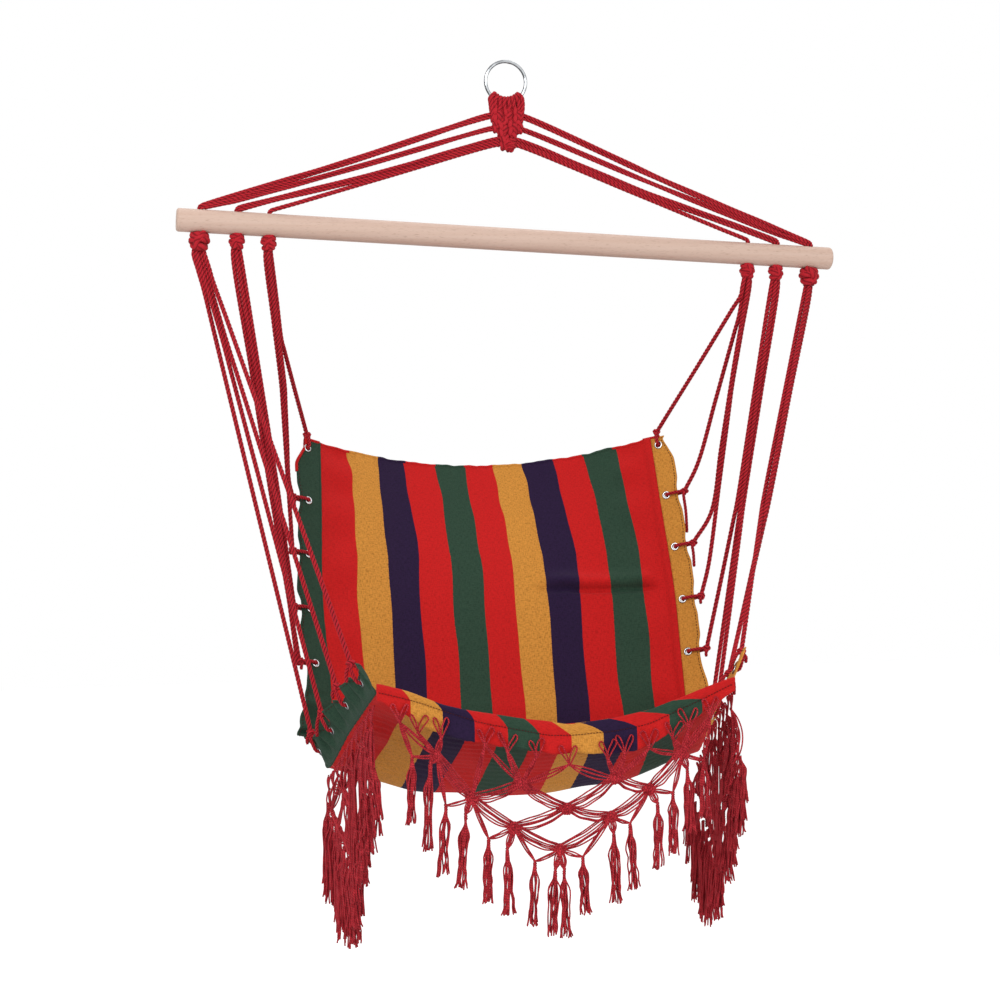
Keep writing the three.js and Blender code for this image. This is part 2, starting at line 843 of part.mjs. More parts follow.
function tassel(top, length, diameter) {
  const radius = diameter / 2;
  const profile = tasselProfile.map(([wide, down]) => new THREE.Vector2(wide * radius, -down * length));
  const geometry = new THREE.LatheGeometry(profile.reverse(), 5);
  geometry.rotateX(Math.PI / 2);
  geometry.translate(...top);
  return geometry;
}

// Places of the net's knots, row by row: each row has one knot fewer, down to the point.
function netKnots(run, depth) {
  const pitch = run * fringeNetSpread;
  const step = (depth - fringeNetTop) / (fringeNetRows - 1);
  const rows = [];
  for (let r = 0; r < fringeNetRows; r += 1) {
    const count = fringeNetRows - r;
    const row = [];
    for (let i = 0; i < count; i += 1) row.push([(i - (count - 1) / 2) * pitch, fringeNetTop + r * step]);
    rows.push(row);
  }
  return rows;
}

function netFringe(at, run, depth, loopCount, tasselLength) {
  const solids = [];
  const knotRadius = fringeKnotDiameter / 2;
  const rows = netKnots(run, depth);
  const pitch = run / loopCount;
  for (let i = 0; i < loopCount; i += 1) {
    const a = (i - (loopCount - 1) / 2) * pitch;
    const small = [a, fringeFirstKnots];
    for (const way of [-1, 1]) {
      const foot = [a + way * yarnDiameter * 0.3, fringeFirstKnots + yarnDiameter];
      solids.push(yarnBundle(at, [a + way * pitch * 0.3, 0], foot, yarnDiameter, yarnDiameter));
    }
    const nearest = rows[0].reduce((best, place) => (Math.abs(place[0] - a) < Math.abs(best[0] - a) ? place : best));
    solids.push(yarnBundle(at, small, nearest, yarnDiameter * 1.5, yarnDiameter * 1.2));
  }
  rows.forEach((row, r) => {
    const last = r === rows.length - 1;
    row.forEach(([a, h], i) => {
      solids.push(knotAt(at, a, h, knotRadius));
      const below = last ? [] : [rows[r + 1][i - 1], rows[r + 1][i]].filter(Boolean);
      for (const place of below) {
        solids.push(yarnBundle(at, [a, h], place, yarnDiameter * 3, yarnDiameter));
      }
    });
    const ends = last ? row : [row[0], row[row.length - 1]];
    for (const [a, h] of ends) {
      const big = last ? fringePointShare : 1;
      solids.push(tassel(at(a, h), tasselLength * big, fringeTasselDiameter * big));
    }
  });
  return join(solids);
}

function frontFringe() {
  const run = 2 * (edgeLine.getPoint(1).x - fringeEndMargin);
  const face = hemThickness / 2 + yarnDiameter / 2 + fringeFaceGap;
  const at = (a, h, forward = 0) => {
    const t = THREE.MathUtils.clamp(a / edgeLine.getPoint(1).x, -1, 1);
    const hem = hemPoint(t);
    const top = hem.z + hemHeight / 2 - hemStitchDrop - fringeLoopDrop;
    return vector(a, hem.y - face - forward, top - h);
  };
  return netFringe(at, run, frontFringeDepth, frontLoopCount, frontTasselLength);
}

function sideFringe(side) {
  const seatStart = edgeLine.getLengths()[Math.round(seatShare * edgeLine.arcLengthDivisions)];
  const run = clothLength - seatStart - 2 * fringeEndMargin;
  const middle = (clothLength + seatStart) / 2;
  const outwards = edgeLine.getPoint(seatShare).sub(edgeLine.getPoint(1)).cross(Z).normalize();
  const at = (a, h, forward = 0) => {
    const place = edgeLine.getPoint(edgeLine.getUtoTmapping(0, middle - a));
    place.addScaledVector(Z, -(h + fringeHangGap)).addScaledVector(outwards, forward);
    return mirrored(place, side);
  };
  return netFringe(at, run, sideFringeDepth, sideLoopCount, sideTasselLength);
}

// Assembly.

const chair = new THREE.Group();

chair.add(hangingRing());
chair.add(hangerKnotwork());

const spreader = barFrame();
spreader.add(spreaderBar());
const knotWords = ['outer', 'middle', 'inner'];
for (const [word, side] of [['left', -1], ['right', 1]]) {
  chair.add(...upperRopes(word, side));
  knotWords.forEach((knotWord, hole) => {
    spreader.add(stopperKnot(`${word}_${knotWord}_knot`, side, hole));
  });
}
chair.add(spreader);

const sling = new THREE.Group();
sling.position.x = slingShift;
sling.add(named('back_pad', padSheet(0, backPadEnd, 13, 12), clothMaterial));
sling.add(named('seat_pad', padSheet(seatPadStart, 1, 7, 12), clothMaterial));
sling.add(named('left_flange', flangeSheet(-1), greenMaterial));
sling.add(named('right_flange', flangeSheet(1), amberMaterial));
sling.add(named('front_hem', frontHem(), clothMaterial));

for (const [word, side] of [['left', -1], ['right', 1]]) {
  cordsByKnot[word].forEach((cords, knotIndex) => {
    cords.forEach((eyeletWord, index) => {
      const cord = suspensionCord(eyeletWord, side, knotIndex, cords.length, index);
      sling.add(named(`${word}_cord_${eyeletWord}`, cord, cordMaterial));
    });
  });
  for (const place of eyelets) {
    const frame = eyeletFrame(place, side);
    const eyelet = named(`${word}_eyelet_${place.word}`, eyeletGeometry(), steelMaterial);
    eyelet.quaternion.copy(eyeletTurn(frame));
    eyelet.position.copy(frame.place);
    sling.add(eyelet);
  }
}

sling.add(named('front_fringe', frontFringe(), cordMaterial));
sling.add(named('left_fringe', sideFringe(-1), cordMaterial));
sling.add(named('right_fringe', sideFringe(1), cordMaterial));
chair.add(sling);

export default chair;
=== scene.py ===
"""Dresses the hammock chair: a striped sling on knotted cotton cords under a beech spreader bar.

Lengths are millimetres until a mesh or lamp is made. X is to the right as the chair is faced, Y to
its back and Z up, and the origin is where the ring rests on its hook.
"""
import logging
from dataclasses import dataclass
from enum import Enum
from math import cos, pi, radians, sin, sqrt, tau
from typing import Callable, Sequence

import bmesh
import bpy
import numpy as np
from mathutils import Matrix, Vector


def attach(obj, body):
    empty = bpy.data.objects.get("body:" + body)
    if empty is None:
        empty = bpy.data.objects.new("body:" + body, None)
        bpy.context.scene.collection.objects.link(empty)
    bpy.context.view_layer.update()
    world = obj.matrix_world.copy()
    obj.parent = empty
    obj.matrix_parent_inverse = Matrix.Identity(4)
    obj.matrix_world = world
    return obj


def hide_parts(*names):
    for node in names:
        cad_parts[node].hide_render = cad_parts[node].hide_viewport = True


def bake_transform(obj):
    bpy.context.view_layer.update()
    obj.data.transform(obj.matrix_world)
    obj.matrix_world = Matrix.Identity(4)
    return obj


log = logging.getLogger("hammock_chair")
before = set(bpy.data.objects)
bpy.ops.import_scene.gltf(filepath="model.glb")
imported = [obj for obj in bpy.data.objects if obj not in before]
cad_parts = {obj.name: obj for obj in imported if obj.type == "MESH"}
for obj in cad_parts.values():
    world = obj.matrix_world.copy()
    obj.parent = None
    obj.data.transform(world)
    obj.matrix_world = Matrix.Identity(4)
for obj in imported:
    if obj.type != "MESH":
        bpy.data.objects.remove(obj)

MM = 0.001
UP = np.array([0.0, 0.0, 1.0])
ACROSS = np.array([1.0, 0.0, 0.0])
BACKWARDS = np.array([0.0, 1.0, 0.0])
CHAIR_SEED = 11

Points = np.ndarray
Spot = tuple[float, float]
Place = Callable[[Points, Points, Points], Points]


class Body(str, Enum):
    """Rigid bodies of the chair."""

    RING = "ring"
    HANGER = "hanger"
    SPREADER = "spreader"
    SEAT = "seat"
    FRONT_FRINGE = "front_fringe"
    LEFT_FRINGE = "left_fringe"
    RIGHT_FRINGE = "right_fringe"


class Slot(str, Enum):
    """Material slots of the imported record."""

    STEEL = "steel"
    CORD = "cord"
    YARN = "yarn"
    WOOD = "wood"
    STRIPED = "striped_cloth"
    GREEN = "green_cloth"
    AMBER = "amber_cloth"


class Side(Enum):
    """Side of the chair, with the sign of its X."""

    LEFT = -1
    RIGHT = 1

    @property
    def word(self) -> str:
        """Name of the side as the nodes spell it."""
        return self.name.lower()


# Routes and sections.


def unit(vector: Points) -> Points:
    """Scales vectors to length one, along the last axis."""
    return vector / np.maximum(np.linalg.norm(vector, axis=-1, keepdims=True), 1e-9)


def spline(points: Sequence[Points], shares: Points) -> Points:
    """Smooth centripetal curve through points.

    Args:
        points: Places that the curve passes through.
        shares: Places along the curve, 0 at the first point and 1 at the last.

    Returns:
        One row of coordinates for each share.
    """
    knots = np.asarray(points, float)
    knots = np.vstack([2 * knots[0] - knots[1], knots, 2 * knots[-1] - knots[-2]])
    place = np.clip(shares, 0, 1) * (len(points) - 1)
    index = np.minimum(place.astype(int), len(points) - 2)
    part = (place - index)[:, None]
    p0, p1, p2, p3 = (knots[index + k] for k in range(4))
    d0, d1, d2 = (np.sqrt(np.linalg.norm(b - a, axis=1))[:, None] for a, b in ((p0, p1), (p1, p2), (p2, p3)))
    slope1 = ((p1 - p0) / d0 - (p2 - p0) / (d0 + d1) + (p2 - p1) / d1) * d1
    slope2 = ((p2 - p1) / d1 - (p3 - p1) / (d1 + d2) + (p3 - p2) / d2) * d1
    cubic = 2 * p1 - 2 * p2 + slope1 + slope2
    square = -3 * p1 + 3 * p2 - 2 * slope1 - slope2
    return cubic * part**3 + square * part**2 + slope1 * part + p1


def ease(share: Points) -> Points:
    """Soft step from 0 at a share of 0 to 1 at a share of 1."""
    share = np.clip(share, 0, 1)
    return share * share * (3 - 2 * share)


def lengths_along(route: Points) -> Points:
    """Distance of each point of a route from its start."""
    return np.concatenate([[0.0], np.cumsum(np.linalg.norm(np.diff(route, axis=0), axis=1))])


def at_marks(marks: Points, along: Points, points: Points) -> Points:
    """Places at distances along a line, from the distance of each of its points."""
    return np.column_stack([np.interp(marks, along, values) for values in points.T])


def evenly(points: Sequence[Points], step: float) -> Points:
    """Resamples a smooth curve at even distances.

    Args:
        points: Places that the curve passes through.
        step: Distance between samples.

    Returns:
        The samples, first and last point included.
    """
    fine = spline(points, np.linspace(0, 1, 20 * len(points)))
    along = lengths_along(fine)
    count = max(3, int(round(along[-1] / step)) + 1)
    marks = np.linspace(0, along[-1], count)
    return at_marks(marks, along, fine)


def section_frames(route: Points, closed: bool) -> tuple[Points, Points]:
    """Directions square to a route that turn with it as little as they can.

    Args:
        route: Points along the middle of a tube.
        closed: Whether the last point joins the first.

    Returns:
        Two unit vectors for each point, square to the route and to each other.
    """
    if closed:
        tangents = unit(np.roll(route, -1, axis=0) - np.roll(route, 1, axis=0))
    else:
        tangents = unit(np.gradient(route, axis=0))
    start = BACKWARDS if abs(tangents[0][1]) < 0.9 else ACROSS
    normals = np.empty_like(route)
    normal = start
    for i, tangent in enumerate(tangents):
        normal = unit(normal - normal.dot(tangent) * tangent)
        normals[i] = normal
    if closed:
        last = unit(normals[-1] - normals[-1].dot(tangents[0]) * tangents[0])
        side = np.cross(tangents[0], normals[0])
        gap = np.arctan2(last.dot(side), last.dot(normals[0]))
        turns = -gap * np.arange(len(route)) / len(route)
        sides = np.cross(tangents, normals)
        normals = normals * np.cos(turns)[:, None] + sides * np.sin(turns)[:, None]
    return normals, np.cross(tangents, normals)


class Shape:
    """Points and faces gathered for one piece, with a map of lengths along and around it."""

    def __init__(self) -> None:
        """Starts with nothing in it."""
        self.points: list[Points] = []
        self.faces: list[Sequence[int]] = []
        self.corners: list[Sequence[tuple[float, float]]] = []
        self.count = 0

    def grid(
        self, points: Points, marks: Points, wrap_rows: bool = False, wrap_columns: bool = False,
    ) -> None:
        """Adds a surface of four-sided faces.

        Args:
            points: Places, as rows by columns by three.
            marks: Map place of each point and, where a side wraps, of one more, as rows by columns by two.
            wrap_rows: Whether the last row joins the first.
            wrap_columns: Whether the last column joins the first.
        """
        rows, columns = points.shape[:2]
        down = np.arange(rows if wrap_rows else rows - 1)[:, None]
        across = np.arange(columns if wrap_columns else columns - 1)[None, :]
        near = [(down, across), (down, across + 1), (down + 1, across + 1), (down + 1, across)]
        index = [(i % rows) * columns + (j % columns) + self.count for i, j in near]
        self.faces.extend(np.stack(index, axis=-1).reshape(-1, 4).tolist())
        spots = [marks[i, j] for i, j in near]
        self.corners.extend(np.stack(spots, axis=-2).reshape(-1, 4, 2).tolist())
        self.points.append(points.reshape(-1, 3))
        self.count += rows * columns

    def face(self, index: Sequence[int], spots: Sequence[Spot] = ()) -> None:
        """Adds one face over points that are already there, with map places where they matter."""
        self.faces.append(list(index))
        self.corners.append(list(spots) or [(0.0, 0.0)] * len(index))

    def tube(
        self, route: Points, radii: Points | float, section: Points, turn_each: float = 0.0, closed: bool = False,
    ) -> None:
        """Adds a tube.

        Args:
            route: Points along its middle.
            radii: Its radius, or one for each point of the route.
            section: Share of the radius at each corner of its section.
            turn_each: Turn of the section for each millimetre, in radians.
            closed: Whether the last ring joins the first.
        """
        along = lengths_along(route)
        normals, sides = section_frames(route, closed)
        total = along[-1] + (np.linalg.norm(route[0] - route[-1]) if closed else 0)
        if closed and turn_each:
            turn_each = round(turn_each * total / tau) * tau / total
        angles = np.arange(len(section)) * tau / len(section) + (along * turn_each)[:, None]
        reach = np.broadcast_to(radii, len(route))[:, None] * section
        points = route[:, None] + normals[:, None] * (np.cos(angles) * reach)[..., None]
        points = points + sides[:, None] * (np.sin(angles) * reach)[..., None]
        lengths = np.append(along, total) if closed else along
        marks = np.empty((len(lengths), len(section) + 1, 2))
        marks[..., 0] = np.arange(len(section) + 1) / len(section)
        marks[..., 1] = lengths[:, None] * MM
        first = self.count
        self.grid(points, marks, closed, True)
        if not closed:
            self.face(range(first, first + len(section)))
            self.face(range(self.count - 1, self.count - 1 - len(section), -1))

    def cord(
        self, route: Points, radii: Points | float, pitch: float, depth: float = 0.2, closed: bool = False,
        plies: int = 3,
    ) -> None:
        """Adds a laid cord.

        Args:
            route: Points along its middle.
            radii: Its radius, or one for each point of the route.
            pitch: Length in which its plies turn once, less than 0 to turn them the other way.
            depth: Depth of the grooves between plies, as a share of the radius.
            closed: Whether its end joins its start.
            plies: Number of its plies.
        """
        swell = [1 - depth, 1 - 0.18 * depth, 1.0, 1 - 0.18 * depth]
        self.tube(route, radii, np.array(swell * plies), tau / pitch, closed)

    def mesh(self, name: str) -> bpy.types.Mesh:
        """Makes the mesh, in metres, with its map and faces pointing outwards."""
        mesh = bpy.data.meshes.new(name)
        mesh.from_pydata((np.concatenate(self.points) * MM).tolist(), [], self.faces)
        layer = mesh.uv_layers.new(name="lay")
        flat = [value for corners in self.corners for corner in corners for value in corner]
        layer.data.foreach_set("uv", flat)
        face_outwards(mesh)
        mesh.shade_smooth()
        return mesh


ROUND_YARN = np.ones(5)


def face_outwards(mesh: bpy.types.Mesh) -> None:
    """Turns every face of a mesh outwards."""
    work = bmesh.new()
    work.from_mesh(mesh)
    bmesh.ops.recalc_face_normals(work, faces=work.faces)
    work.to_mesh(mesh)
    work.free()


def add_piece(
    thing: Shape | bpy.types.Object,
    name: str,
    body: Body | None,
    material: bpy.types.Material,
    stands_for: Sequence[str] = (),
) -> bpy.types.Object:
    """Turns a shape or an object into a finished piece.

    Args:
        thing: The gathered shape, or a mesh object whose place is already in its mesh.
        name: Name of the piece.
        body: Body that it rides on, or None to leave it on no body.
        material: Its finish.
        stands_for: CAD nodes that it replaces.

    Returns:
        The object.
    """
    if isinstance(thing, Shape):
        piece = bpy.data.objects.new(name, thing.mesh(name))
        bpy.context.scene.collection.objects.link(piece)
    else:
        piece = thing
        piece.name = name
        piece.data.name = name
    piece.data.materials.clear()
    piece.data.materials.append(material)
    if stands_for:
        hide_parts(*stands_for)
    if body is not None:
        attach(piece, body.value)
    log.info("%s: %d faces", name, len(piece.data.polygons))
    return piece


def pick(piece: bpy.types.Object) -> None:
    """Selects one piece alone and makes it the active one."""
    bpy.ops.object.select_all(action="DESELECT")
    piece.select_set(True)
    bpy.context.view_layer.objects.active = piece


def settle(piece: bpy.types.Object) -> None:
    """Moves a piece's place, turn and scale into its mesh."""
    pick(piece)
    bpy.ops.object.transform_apply(location=True, rotation=True, scale=True)


# Finishes.


def linear(colour: str) -> tuple[float, float, float, float]:
    """Turns an sRGB hex colour to the linear values that shaders take."""
    parts = (int(colour[i : i + 2], 16) / 255 for i in (1, 3, 5))
    red, green, blue = (p / 12.92 if p <= 0.04045 else ((p + 0.055) / 1.055) ** 2.4 for p in parts)
    return red, green, blue, 1.0


def rate(size_mm: float) -> float:
    """Scale of a pattern with features of a size, over places in metres."""
    return 1 / (size_mm * MM)


def feed(tree: bpy.types.NodeTree, node: bpy.types.Node, inputs: dict) -> None:
    """Sets or links inputs of a node.

    Args:
        tree: Node tree that holds it.
        node: The node.
        inputs: For each input, by name or number, a value, a socket, or a node for its main output.
    """
    for name, value in inputs.items():
        if isinstance(value, bpy.types.Node):
            # The colour that a Mix node gives is its third output.
            value = value.outputs[2 if value.type == "MIX" else 0]
        if isinstance(value, bpy.types.NodeSocket):
            tree.links.new(value, node.inputs[name])
        else:
            node.inputs[name].default_value = value


def add_node(tree: bpy.types.NodeTree, kind: str, inputs: dict, **settings: object) -> bpy.types.Node:
    """Adds one shader node.

    Args:
        tree: Node tree that it goes into.
        kind: Blender's name of the node type, after its ShaderNode.
        inputs: What goes into its inputs, as feed takes it.
        **settings: Properties of the node.

    Returns:
        The node.
    """
    node = tree.nodes.new(f"ShaderNode{kind}")
    for name, value in settings.items():
        setattr(node, name, value)
    feed(tree, node, inputs)
    return node


def new_material(name: str) -> tuple[bpy.types.Material, bpy.types.NodeTree, bpy.types.Node]:
    """Starts a material.

    Args:
        name: Name of the finish.

    Returns:
        The material, its node tree, and its shader.
    """
    material = bpy.data.materials.new(name)
    material.use_nodes = True
    return material, material.node_tree, material.node_tree.nodes["Principled BSDF"]


@dataclass(frozen=True)
class LaidCotton:
    """Dyed cotton, twisted or laid: matt, a little hairy, with painted shade where the plies meet and painted
    highlight in patches.
    """

    name: str
    colour: str = "#AC1B27"
    groove: str = "#4E0A11"
    sunlit: str = "#C12C36"
    plies: int = 3
    fibre_pitch_mm: float = 1.6
    twist_pitch_mm: float = 0.0
    patch_size_mm: float = 26.0
    patch_range: tuple[float, float] = (0.0, 1.0)
    roughness: float = 0.86

    def material(self) -> bpy.types.Material:
        """Builds the material on the map that runs along and around each cord."""
        material, tree, shader = new_material(self.name)
        lay = add_node(tree, "SeparateXYZ", {0: add_node(tree, "UVMap", {}, uv_map="lay")})
        turn = lay.outputs["X"]
        if self.twist_pitch_mm:
            wound = {0: lay.outputs["Y"], 1: rate(self.twist_pitch_mm)}
            wound = add_node(tree, "Math", wound, operation="MULTIPLY")
            turn = add_node(tree, "Math", {0: turn, 1: wound}, operation="ADD")
        swing = add_node(tree, "Math", {0: turn, 1: self.plies * tau}, operation="MULTIPLY")
        # The plies' grooves are dark, because light doesn't reach into them.
        groove = add_node(tree, "MapRange", {0: add_node(tree, "Math", {0: swing}, operation="COSINE"), 1: 0.25})
        place = add_node(tree, "TexCoord", {}).outputs["Object"]
        patch = {"Vector": place, "Scale": rate(self.patch_size_mm), "Detail": 3.0, "Roughness": 0.6}
        low, high = self.patch_range
        patch = add_node(tree, "MapRange", {0: add_node(tree, "TexNoise", patch), 1: low, 2: high})
        # Random patches take the lighter sunlit colour: painted highlight, as where the cotton catches the light.
        painted_highlight_mix = {0: patch, 6: linear(self.colour), 7: linear(self.sunlit)}
        painted_highlight_mix = add_node(tree, "Mix", painted_highlight_mix, data_type="RGBA")
        shade = add_node(tree, "Mix", {0: groove, 6: painted_highlight_mix, 7: linear(self.groove)}, data_type="RGBA")
        fibres = {"Vector": place, "Scale": rate(self.fibre_pitch_mm), "Detail": 2.0}
        drop = add_node(tree, "Math", {0: groove, 1: -0.8}, operation="MULTIPLY")
        height = add_node(tree, "Math", {0: add_node(tree, "TexNoise", fibres), 1: drop}, operation="ADD")
        bump = add_node(tree, "Bump", {"Strength": 0.55, "Distance": 0.6 * MM, "Height": height})
        feed(tree, shader, {"Base Color": shade, "Normal": bump, "Roughness": self.roughness,
                            "Specular IOR Level": 0.12, "Sheen Weight": 0.04})
        return material


@dataclass(frozen=True)
class WovenCotton:
    """Thick handloom cotton: matt, with round warp threads and slubs that fleck its colour."""

    name: str
    stripes: tuple[tuple[str, str], ...]
    thread_pitch_mm: float = 1.2
    slub_length_mm: float = 5.5
    map_width_m: float = 0.56
    roughness: float = 0.92
    wander_share: float = 0.003

    def material(self) -> bpy.types.Material:
        """Builds the material on the map: stripes across, threads both ways.

        The real threads are 0.7 mm apart, too fine for the picture, so they are drawn twice as coarse.
        """
        material, tree, shader = new_material(self.name)
        lay = add_node(tree, "UVMap", {}, uv_map="lay")
        axes = add_node(tree, "SeparateXYZ", {0: lay})
        slubs, threads = rate(self.slub_length_mm), rate(self.thread_pitch_mm)
        warp, weft = (
            add_node(tree, "TexNoise", {"Vector": add_node(tree, "Mapping", {0: lay, 3: scales}),
                                        "Scale": 1.0, "Detail": 2.0})
            for scales in ((self.map_width_m * threads, slubs, 1.0), (self.map_width_m * slubs, threads, 1.0)))
        stray = add_node(tree, "Math", {0: weft, 1: 0.5}, operation="SUBTRACT")
        across = {0: stray, 1: self.wander_share, 2: axes.outputs["X"]}
        across = add_node(tree, "Math", across, operation="MULTIPLY_ADD")
        mixed = add_node(tree, "Math", {0: warp, 1: weft}, operation="ADD")
        # Slubs show a darker yarn through the dye, so that each stripe is flecked.
        amount = add_node(tree, "MapRange", {0: mixed, 1: 0.9, 2: 1.35, 4: 0.8})
        colour = {0: amount, 6: self._stripes(tree, across, 0), 7: self._stripes(tree, across, 1)}
        colour = add_node(tree, "Mix", colour, data_type="RGBA")
        ribs = []
        for axis, scale in (("X", self.map_width_m * threads), ("Y", threads)):
            run = add_node(tree, "Math", {0: axes.outputs[axis], 1: scale * tau}, operation="MULTIPLY")
            ribs.append(add_node(tree, "Math", {0: run}, operation="SINE"))
        weave = add_node(tree, "Math", {0: ribs[0], 1: ribs[1]}, operation="ADD")
        height = add_node(tree, "Math", {0: mixed, 1: 3.0, 2: weave}, operation="MULTIPLY_ADD")
        bump = add_node(tree, "Bump", {"Strength": 0.4, "Distance": 0.25 * MM, "Height": height})
        feed(tree, shader, {"Base Color": colour, "Normal": bump, "Roughness": self.roughness,
                            "Specular IOR Level": 0.12, "Sheen Weight": 0.05})
        return material

    def _stripes(self, tree: bpy.types.NodeTree, across: bpy.types.Node, shade: int) -> bpy.types.Node:
        """Colour of each stripe.

        Args:
            tree: Node tree of the material.
            across: Place across the cloth, 0 to 1.
            shade: 0 for the dyed colour, 1 for its flecks.

        Returns:
            The ramp that gives the colour.
        """
        ramp = add_node(tree, "ValToRGB", {0: across})
        bands = ramp.color_ramp
        bands.interpolation = "CONSTANT"
        while len(bands.elements) < len(self.stripes):
            bands.elements.new(1.0)
        while len(bands.elements) > len(self.stripes):
            bands.elements.remove(bands.elements[-1])
        for i, pair in enumerate(self.stripes):
            bands.elements[i].position = i / len(self.stripes)
            bands.elements[i].color = linear(pair[shade])
        return ramp


@dataclass(frozen=True)
class SandedBeech:
    """Beech dowel, sanded and left bare: pale, with fine short pores along the grain."""

    name: str = "sanded_beech"
    pale: str = "#D1B8AA"
    ring: str = "#C4A492"
    pore: str = "#A58573"
    grain_width_mm: float = 5.0
    grain_stretch: float = 60.0
    pore_width_mm: float = 1.0
    pore_length_mm: float = 9.0
    roughness: float = 0.55

    def material(self) -> bpy.types.Material:
        """Builds the material, its grain along the bar."""
        material, tree, shader = new_material(self.name)
        place = add_node(tree, "TexCoord", {}).outputs["Object"]
        across, pore = rate(self.grain_width_mm), rate(self.pore_width_mm)
        grain_place = add_node(tree, "Mapping", {0: place, 3: (across / self.grain_stretch, across, across)})
        grain = {"Vector": grain_place, "Scale": 1.0, "Detail": 4.0, "Distortion": 0.4}
        wood = {0: add_node(tree, "TexNoise", grain), 6: linear(self.pale), 7: linear(self.ring)}
        wood = add_node(tree, "Mix", wood, data_type="RGBA")
        # The pores are short dark dashes, by which the eye knows beech from pine.
        pore_place = add_node(tree, "Mapping", {0: place, 3: (rate(self.pore_length_mm), pore, pore)})
        fleck = add_node(tree, "TexNoise", {"Vector": pore_place, "Scale": 1.0, "Detail": 1.0})
        pores = add_node(tree, "MapRange", {0: fleck, 1: 0.6, 2: 0.72, 4: 0.55})
        colour = add_node(tree, "Mix", {0: pores, 6: wood, 7: linear(self.pore)}, data_type="RGBA")
        bump = add_node(tree, "Bump", {"Strength": 0.15, "Distance": 0.2 * MM, "Height": fleck})
        feed(tree, shader, {"Base Color": colour, "Normal": bump, "Roughness": self.roughness,
                            "Specular IOR Level": 0.35})
        return material


@dataclass(frozen=True)
class ChromedSteel:
    """Chrome plate on steel: bright on faces turned to the front, with painted dark reflection in lines along its
    sides.
    """

    name: str = "chromed_steel"
    colour: str = "#D2D5D8"
    # Colour of the painted dark reflection, on faces turned sideways.
    painted_dark_reflection: str = "#2A2B2D"
    streak_size_mm: float = 24.0
    rub_size_mm: float = 2.5
    # Where faces pass from painted dark reflection to bright, on a scale of facing and streaks.
    painted_reflection_ramp: tuple[float, float] = (0.72, 1.28)

    def material(self) -> bpy.types.Material:
        """Builds the material, its roughness rubbed unevenly."""
        material, tree, shader = new_material(self.name)
        place = add_node(tree, "TexCoord", {})
        spots = place.outputs["Object"]
        rub = add_node(tree, "TexNoise", {"Vector": spots, "Scale": rate(self.rub_size_mm), "Detail": 3.0})
        rough = add_node(tree, "MapRange", {0: rub, 1: 0.3, 2: 0.7, 3: 0.08, 4: 0.2})
        faces = add_node(tree, "SeparateXYZ", {0: place.outputs["Normal"]})
        front = add_node(tree, "Math", {0: faces.outputs["Y"]}, operation="ABSOLUTE")
        streak = add_node(tree, "TexNoise", {"Vector": spots, "Scale": rate(self.streak_size_mm), "Detail": 1.0})
        tilt = add_node(tree, "Math", {0: streak, 1: 0.9, 2: front}, operation="MULTIPLY_ADD")
        # Faces turned sideways are darker, in streaks: painted dark reflection, as chrome mirrors a dark room along
        # its edges.
        painted_reflection_ramp = add_node(tree, "MapRange", {0: tilt, 1: self.painted_reflection_ramp[0], 2: self.painted_reflection_ramp[1]})
        tone = add_node(tree, "Mix", {0: painted_reflection_ramp, 6: linear(self.painted_dark_reflection), 7: linear(self.colour)}, data_type="RGBA")
        feed(tree, shader, {"Base Color": tone, "Roughness": rough, "Metallic": 1.0})
        return material


# Each colour of the cloth, with that of its flecks.
RED = ("#CB1F1F", "#A31717")
AMBER = ("#D6933F", "#945A20")
NAVY = ("#2B1B3B", "#1A1128")
GREEN = ("#31493A", "#1D3529")
SLING_STRIPES = (RED, AMBER, NAVY, RED, GREEN, RED, AMBER, NAVY, RED, GREEN, RED)


class Finishes:
    """Every finish of the chair, each made once."""

    def __init__(self) -> None:
        """Builds the materials."""
        self.cord = LaidCotton("laid_cotton_cord", groove="#5C0D15").material()
        self.knotted = LaidCotton("knotted_cotton_cord", groove="#7C131C", sunlit="#BE2A34").material()
        self.yarn = LaidCotton(
            "twisted_cotton_yarn", colour="#8A121C", groove="#5C0C14", sunlit="#CE3640", plies=2,
            twist_pitch_mm=7.0, fibre_pitch_mm=0.9, patch_size_mm=6.0, patch_range=(0.26, 0.62)).material()
        self.striped = WovenCotton("striped_handloom_cotton", SLING_STRIPES).material()
        self.green = WovenCotton("green_handloom_cotton", (GREEN,)).material()
        self.amber = WovenCotton("amber_handloom_cotton", (AMBER,)).material()
        self.beech = SandedBeech().material()
        self.chrome = ChromedSteel().material()
        # The ring's chrome, with more of its faces in painted dark reflection.
        self.dark_reflecting_chrome = ChromedSteel(
            "dulled_chrome", painted_dark_reflection="#3B3D40", streak_size_mm=15.0, painted_reflection_ramp=(1.02, 1.5)).material()
        self.binding = WovenCotton("red_bias_binding", (RED,)).material()
        self.thread = LaidCotton(
            "dark_sewing_thread", colour="#4A1216", groove="#26080A", sunlit="#5A1A1E", plies=2,
            twist_pitch_mm=2.0, fibre_pitch_mm=0.6).material()



# Lines that the pieces share.


